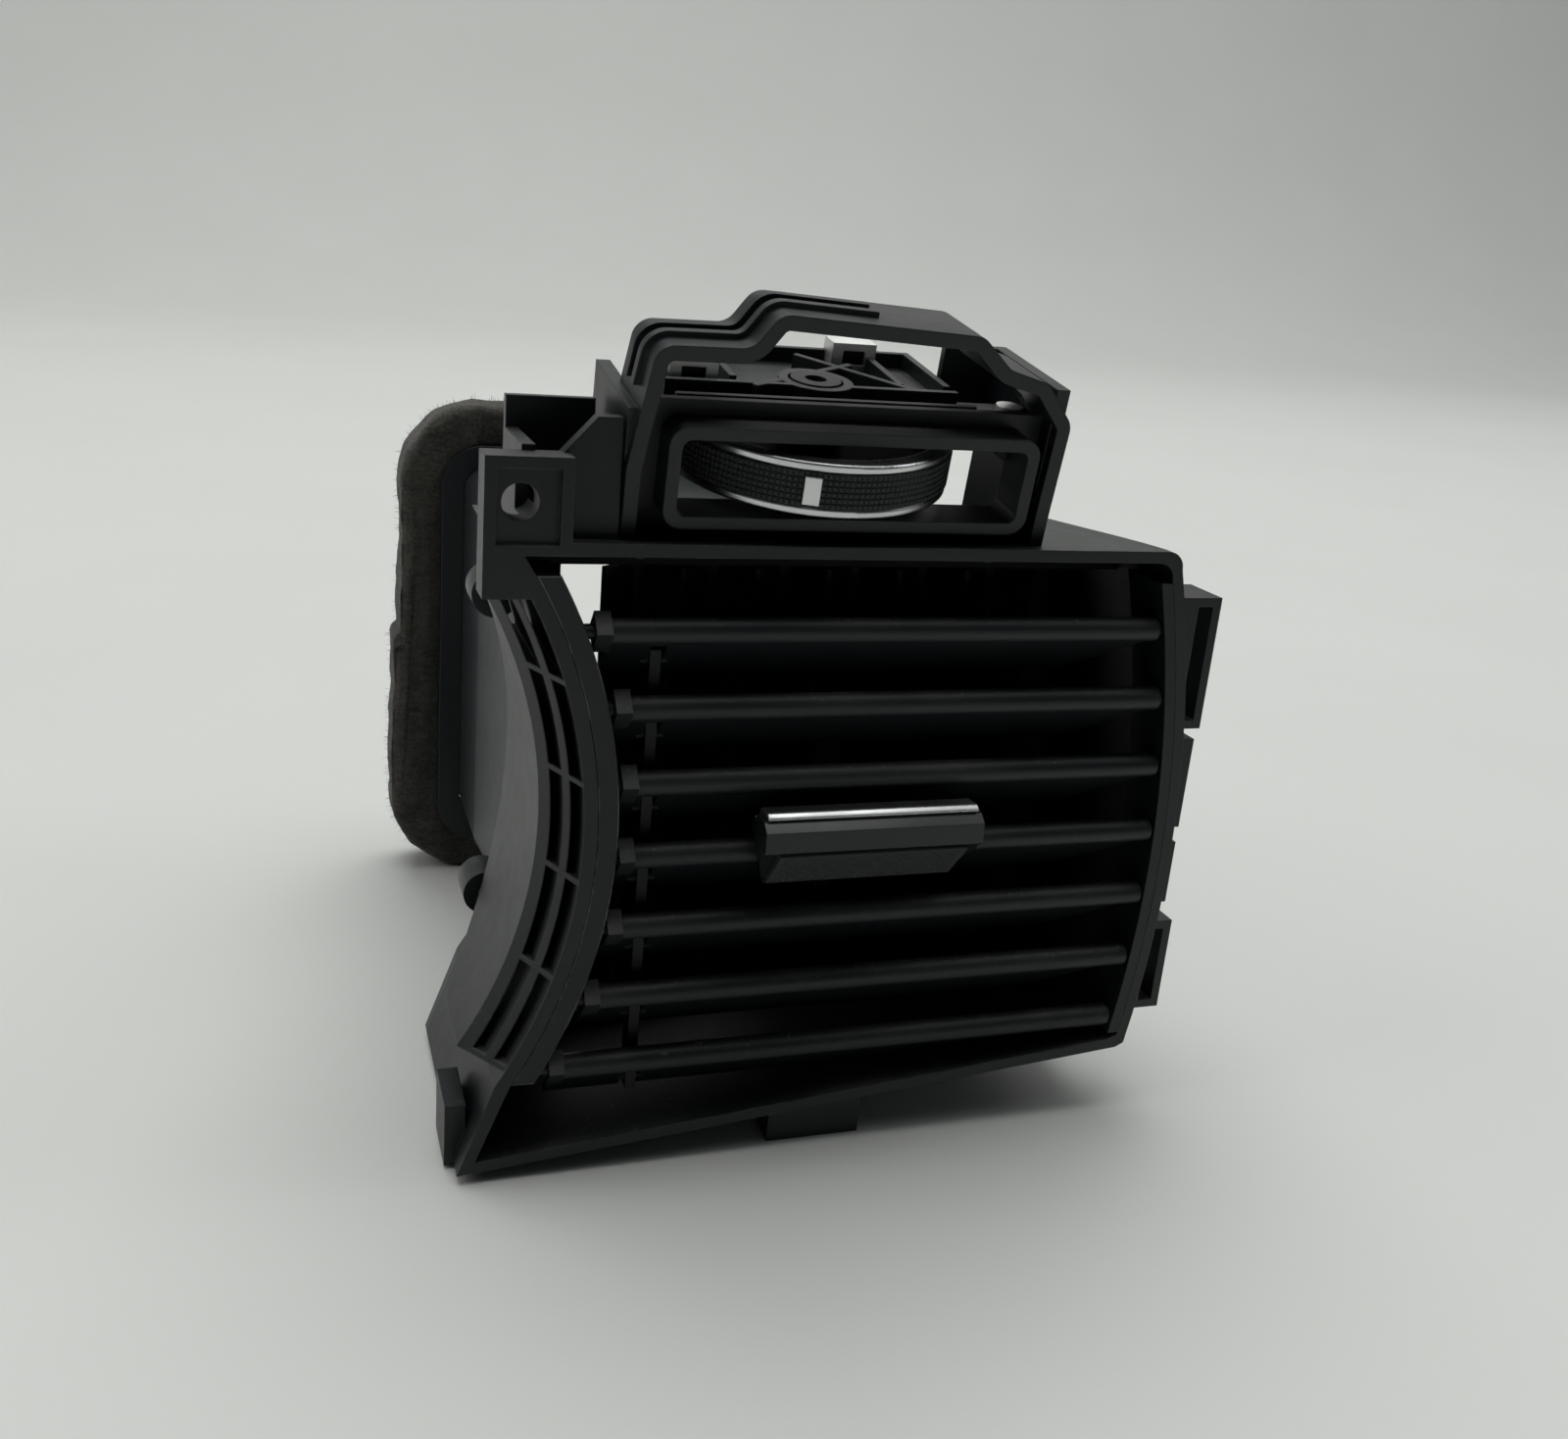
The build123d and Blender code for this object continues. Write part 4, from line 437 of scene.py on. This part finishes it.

# %% [markdown]
# ## Finish the CAD pieces
# Every carried-over piece gets the recipe of its material slot. The left carrier was scraped when the vent was
# taken out, so it shows more wear than the rest. Pieces deep inside get a darker, duller plastic: that is
# painted shade, for the shadow they sit in.

# %% Give each node its finish
FINISH_OF_SLOT = {
    "case_plastic": case_plastic,
    "vane_plastic": vane_plastic,
    "knob_gloss": knob_plastic,
    "soft_grip": grip_rubber,
    "satin_chrome": satin_chrome,
    "zinc_steel": zinc_steel,
    "felt": felt,
    "lip_rubber": lip_rubber,
}
FINISH_OF_NODE = {
    "left_carrier": worn_plastic,
    "rear_duct": duct_plastic,
    "duct_collar": duct_plastic,
    # painted shade: the links, combs and axle take the darker plastic for the shadow inside the vent
    "front_link": painted_shade_plastic,
    "rear_link": painted_shade_plastic,
    "top_comb": painted_shade_plastic,
    "bottom_comb": painted_shade_plastic,
    "wheel_axle": painted_shade_plastic,
    "bracket_screws": case_plastic,
}
for part in frame["record"]["subparts"]:
    finish = FINISH_OF_NODE.get(part["node"], FINISH_OF_SLOT[part["material_slot"]])
    nodes[part["node"]].data.materials.clear()
    nodes[part["node"]].data.materials.append(finish)

# %% [markdown]
# ## Helpers for new pieces
# Each new piece is a bmesh that becomes an object, rides on a body of the frame and takes a finish. Shading is
# smooth, and edges sharper than a chosen angle stay crisp where a piece needs them.

# %% Turn a bmesh into a piece
def finish_piece(work, name, body, finish, slot, *replaced):
    """Turn a bmesh into a piece that rides on a body, with its finish. The slot is not used."""
    mesh = bpy.data.meshes.new(name)
    work.to_mesh(mesh)
    work.free()
    piece = bpy.data.objects.new(name, mesh)
    bpy.context.scene.collection.objects.link(piece)
    mesh.materials.append(finish)
    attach(piece, body)
    if replaced:
        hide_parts(*replaced)
    print(name, len(mesh.polygons), "faces")
    return piece


def shade(work, sharp_above=None):
    """Smooth shading, with edges sharper than an angle left crisp."""
    for face in work.faces:
        face.smooth = True
    if sharp_above is not None:
        for joined in work.edges:
            joined.smooth = joined.is_manifold and joined.calc_face_angle() < math.radians(sharp_above)


print("piece helpers ready")

# %% [markdown]
# ## Felt round the duct
# The rear flange wears a strip of pressed felt that seals it against the air duct. It was wound round once, so
# one end overlaps the other half way up the left side. A flat face becomes a ring by rounding its corners and
# insetting it, and gets its depth by extrusion. Its long edges are divided, a few smoothing passes round its
# section, and noise makes it lumpy. It is modelled directly, because pressed felt keeps its shape.

# %% Cut the ring
FELT_WIDTH = 8.0 * MM
FELT_CORNER = 17.0 * MM
CORNER_SEGMENTS = 12

felt_low, felt_high = (Vector(corner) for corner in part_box("duct_seal"))
felt_depth = felt_high.y - felt_low.y
strip = bmesh.new()
corners = ((felt_low.x, felt_low.z), (felt_high.x, felt_low.z),
           (felt_high.x, felt_high.z), (felt_low.x, felt_high.z))
strip.faces.new([strip.verts.new((x, felt_low.y, z)) for x, z in corners])
bmesh.ops.bevel(strip, geom=strip.verts[:], offset=FELT_CORNER, offset_type="OFFSET",
                segments=CORNER_SEGMENTS, profile=0.5, affect="VERTICES", material=-1)
plate = strip.faces[:][0]
bmesh.ops.inset_region(strip, faces=[plate], thickness=FELT_WIDTH, use_even_offset=True, use_boundary=True)
hole = max(strip.faces, key=lambda face: len(face.verts))
bmesh.ops.delete(strip, geom=[hole], context="FACES_ONLY")
extruded = bmesh.ops.extrude_face_region(strip, geom=strip.faces[:])["geom"]
bmesh.ops.translate(strip, verts=moved_verts(extruded), vec=(0, felt_depth, 0))
print("ring of", len(strip.faces), "faces")

# %% Divide and smooth it
FELT_STEP = 1.9 * MM
LENGTH_DIGITS = 4
LENGTH_MATCH = 0.1 * MM
WAY_MATCH = 0.999
MERGE_DISTANCE = 0.01 * MM
SMOOTHING_PASSES = 4

for way in (Vector((0, 0, 1)), Vector((1, 0, 0)), Vector((0, 1, 0))):
    for length in sorted({round(item.calc_length(), LENGTH_DIGITS) for item in strip.edges}):
        if length < 2 * FELT_STEP:
            continue
        alike = [item for item in strip.edges if abs(item.calc_length() - length) < LENGTH_MATCH
                 and abs((item.verts[1].co - item.verts[0].co).normalized().dot(way)) > WAY_MATCH]
        if alike:
            bmesh.ops.subdivide_edges(strip, edges=alike, cuts=round(length / FELT_STEP) - 1,
                                      use_grid_fill=True)
radial = [item for item in strip.edges if item.calc_length() > 3 * FELT_STEP]
if radial:
    bmesh.ops.subdivide_edges(strip, edges=radial, cuts=3, use_grid_fill=True)
bmesh.ops.remove_doubles(strip, verts=strip.verts[:], dist=MERGE_DISTANCE)
bmesh.ops.subdivide_edges(strip, edges=strip.edges[:], cuts=1, use_grid_fill=True)
for _ in range(SMOOTHING_PASSES):
    bmesh.ops.smooth_vert(strip, verts=strip.verts[:], factor=0.5, use_axis_x=True, use_axis_y=True,
                          use_axis_z=True)
bmesh.ops.recalc_face_normals(strip, faces=strip.faces[:])
strip.normal_update()
print("divided into", len(strip.faces), "faces")

# %% Puff and overlap it
PUFF = 0.75
LUMP_WAVES = ((55, 0.7), (160, 0.4), (520, 0.22))
OVERLAP_HEIGHT = 59.0 * MM
OVERLAP_STEP = 1.6 * MM
OVERLAP_FADE = 1.2 * MM
FLOOR_CLEARANCE = 0.1 * MM

for vert in strip.verts:
    place = vert.co
    lumps = sum(noise.noise(place * waves) * weight for waves, weight in LUMP_WAVES)
    moved_out = vert.normal * (PUFF + lumps) * MM
    outward = min(max((felt_low.x + FELT_WIDTH - place.x) / FELT_WIDTH, 0), 1)
    under = min(max((OVERLAP_HEIGHT - place.z) / OVERLAP_FADE, 0), 1)
    moved_out += Vector((-OVERLAP_STEP * under * outward, 0, 0))
    vert.co = place + moved_out
    vert.co.z = max(vert.co.z, FLOOR_CLEARANCE)
shade(strip)
felt_faces = [(face.calc_center_median(), face.normal.copy(), face.calc_area()) for face in strip.faces]
felt_seal = finish_piece(strip, "felt_seal", "housing", felt, "felt", "duct_seal")

# %% [markdown]
# ## Loose fibres
# Fine fibres stand out of the felt and soften its outline. Each is a thin closed spike with three sides, rooted
# in a face of the felt that is drawn by its area, and leaning at random from that face's normal. The random
# numbers are seeded, but a draw picks a face by its place in the list, and the mesh operators may list the
# faces in another order in the next run. So the felt keeps its shape from run to run, and some fibres move.

# %% Grow the fibres
FIBRES = 5200
FIBRE_SEED = 11
FIBRE_LEAN = 0.9
FIBRE_SPREAD = 0.6 * MM
ROOT_DEPTH = 0.25 * MM
ROOT_RADIUS, TIP_RADIUS = 0.045 * MM, 0.012 * MM
FIBRE_CLEARANCE = 0.15 * MM

fibre_random = random.Random(FIBRE_SEED)
fuzz = bmesh.new()
weights = [area for _, _, area in felt_faces]
for root, normal, _ in fibre_random.choices(felt_faces, weights=weights, k=FIBRES):
    sway = Vector([fibre_random.uniform(-1, 1) for _ in range(3)])
    lean = (normal + FIBRE_LEAN * sway).normalized()
    length = fibre_random.uniform(0.5, 1.5) * MM
    middle = root + sway * FIBRE_SPREAD + lean * (length / 2 - ROOT_DEPTH)
    if middle.z - length / 2 < FIBRE_CLEARANCE:
        continue
    stand = lean.to_track_quat("Z", "Y").to_matrix().to_4x4()
    bmesh.ops.create_cone(fuzz, cap_ends=True, segments=3, radius1=ROOT_RADIUS, radius2=TIP_RADIUS,
                          depth=length, matrix=Matrix.Translation(middle) @ stand)
shade(fuzz)
finish_piece(fuzz, "felt_fibres", "housing", felt, "felt")

# %% [markdown]
# ## Knurled rim of the thumbwheel
# The wheel's rubber band is covered in rows of small square studs for grip. The band is a ring spun from its
# section, divided into rows and steps. Each outer face is then inset on its own and raised, which gives every
# stud its sloping sides. The ring's size is measured on the CAD band, round the wheel's own axis.

# %% Measure the wheel
wheel_joint = next(row for row in frame["record"]["behaviour"]["joints"] if row["name"] == "wheel_turn")
wheel_middle = Vector(wheel_joint["pos_m"])
wheel_up = -Vector(wheel_joint["axis"]).normalized()
radii, heights = [], []
for vert in nodes["wheel_grip"].data.vertices:
    offset = vert.co - wheel_middle
    heights.append(offset.dot(wheel_up))
    radii.append((offset - wheel_up * heights[-1]).length)
print("band from", round(min(radii) / MM, 2), "to", round(max(radii) / MM, 2), "mm radius")

# %% Spin and knurl the band
KNURL_ROWS, KNURL_STEPS = 6, 168
STUD_HEIGHT = 0.26 * MM
STUD_MARGIN = 0.2 * MM
BAND_ROOT = 0.4 * MM
RADIUS_MATCH = 0.01 * MM
SEAM_DISTANCE = 0.001 * MM

band_outer, band_inner = max(radii) - STUD_HEIGHT, min(radii) - BAND_ROOT
band_low, band_high = min(heights), max(heights)
band = bmesh.new()
rows = [band_low + (band_high - band_low) * row / KNURL_ROWS for row in range(KNURL_ROWS + 1)]
section = [band.verts.new((band_outer, 0, height)) for height in rows]
section += [band.verts.new((band_inner, 0, height)) for height in (band_high, band_low)]
section_edges = [band.edges.new(pair) for pair in zip(section, section[1:] + section[:1])]
bmesh.ops.spin(band, geom=section + section_edges, cent=(0, 0, 0), axis=(0, 0, 1),
               angle=math.tau, steps=KNURL_STEPS, use_merge=True)
bmesh.ops.remove_doubles(band, verts=band.verts[:], dist=SEAM_DISTANCE)
bmesh.ops.recalc_face_normals(band, faces=band.faces[:])
lands = [face for face in band.faces
         if all(vert.co.xy.length > band_outer - RADIUS_MATCH for vert in face.verts)]
bmesh.ops.inset_individual(band, faces=lands, thickness=STUD_MARGIN, depth=STUD_HEIGHT,
                           use_even_offset=True)
wheel_back = Vector((1, 0, 0)).cross(wheel_up)
wheel_frame = Matrix((Vector((1, 0, 0)), -wheel_back, wheel_up)).transposed().to_4x4()
bmesh.ops.transform(band, matrix=Matrix.Translation(wheel_middle) @ wheel_frame, verts=band.verts[:])
bmesh.ops.recalc_face_normals(band, faces=band.faces[:])
finish_piece(band, "knurled_band", "wheel", grip_rubber, "soft_grip", "wheel_grip")

# %% [markdown]
# ## Slider knob
# The knob is a moulded body with a plated strip along its top and a patch of small diamonds under it. The CAD
# pieces have the right section but sharp ends. Copies of them are merged and cleaned, and then beveled, wide
# at the two ends and narrow along the rest. The body's ends are much rounder than the thin strip's.

# %% Round the knob and its strip
CLEAN_DISTANCE = 0.002 * MM
FLAT_ANGLE = math.radians(1.0)
END_MATCH = 0.02 * MM
KEEN_ANGLE = math.radians(28)
KEEN_ROUND = 0.25 * MM
BODY_END_ROUND, STRIP_END_ROUND = 1.2 * MM, 0.45 * MM
CRISP_ABOVE = 40


def clean_copy(node):
    """A node's mesh as a bmesh with its triangles merged into flat faces."""
    work = bmesh.new()
    work.from_mesh(nodes[node].data)
    bmesh.ops.remove_doubles(work, verts=work.verts[:], dist=CLEAN_DISTANCE)
    bmesh.ops.dissolve_limit(work, angle_limit=FLAT_ANGLE, verts=work.verts[:], edges=work.edges[:])
    return work


def round_edges(work, edges, width, segments):
    bmesh.ops.bevel(work, geom=edges, offset=width, offset_type="OFFSET", segments=segments, profile=0.5,
                    affect="EDGES", material=-1, clamp_overlap=True)


def end_edges(work):
    """The edges round the two end faces."""
    low = min(vert.co.x for vert in work.verts)
    high = max(vert.co.x for vert in work.verts)
    return [item for item in work.edges
            if all(min(vert.co.x - low, high - vert.co.x) < END_MATCH for vert in item.verts)]


for node, name, width, finish, slot in (
    ("slider_body", "knob_body", BODY_END_ROUND, knob_plastic, "knob_gloss"),
    ("slider_trim", "knob_strip", STRIP_END_ROUND, satin_chrome, "satin_chrome"),
):
    knob = clean_copy(node)
    round_edges(knob, end_edges(knob), width, segments=6)
    keen = [item for item in knob.edges if item.is_manifold and item.calc_face_angle() > KEEN_ANGLE]
    round_edges(knob, keen, KEEN_ROUND, segments=3)
    shade(knob, CRISP_ABOVE)
    finish_piece(knob, name, "slider", finish, slot, node)

# %% [markdown]
# ## Diamonds on the grip pad
# The pad under the knob has a fine pattern of raised diamonds that a finger can hold. They are low cones with
# four sides, cut off flat, in rows that are staggered by half a step. They stand on a copy of the CAD pad, so
# the pad's own edges stay.

# %% Set the diamonds
DIAMOND_PITCH = 0.95 * MM
DIAMOND_FOOT, DIAMOND_TOP = 0.42 * MM, 0.16 * MM
DIAMOND_DEPTH, DIAMOND_LIFT = 0.3 * MM, 0.08 * MM

pad = clean_copy("slider_grip")
pad_face = max((face for face in pad.faces if face.normal.y < 0), key=lambda face: face.calc_area())
pad_middle, pad_out = pad_face.calc_center_median(), pad_face.normal.copy()
pad_down = Vector((1, 0, 0)).cross(pad_out).normalized()
pad_length = max(vert.co.x for vert in pad_face.verts) - min(vert.co.x for vert in pad_face.verts)
spread = [(vert.co - pad_middle).dot(pad_down) for vert in pad_face.verts]
pad_rows = int((max(spread) - min(spread)) / DIAMOND_PITCH * 2) - 1
pad_columns = int(pad_length / DIAMOND_PITCH) - 1
turned = Matrix((Vector((1, 0, 0)), -pad_down, pad_out)).transposed().to_4x4()
for row in range(pad_rows):
    for column in range(pad_columns - row % 2):
        along = (column - (pad_columns - 1) / 2 + (row % 2) / 2) * DIAMOND_PITCH
        across = (row - (pad_rows - 1) / 2) * DIAMOND_PITCH / 2
        place = pad_middle + Vector((along, 0, 0)) + pad_down * across + pad_out * DIAMOND_LIFT
        bmesh.ops.create_cone(pad, cap_ends=True, segments=4, radius1=DIAMOND_FOOT, radius2=DIAMOND_TOP,
                              depth=DIAMOND_DEPTH, matrix=Matrix.Translation(place) @ turned)
print("diamonds in", pad_rows, "rows of", pad_columns)
finish_piece(pad, "diamond_pad", "slider", grip_rubber, "soft_grip", "slider_grip")
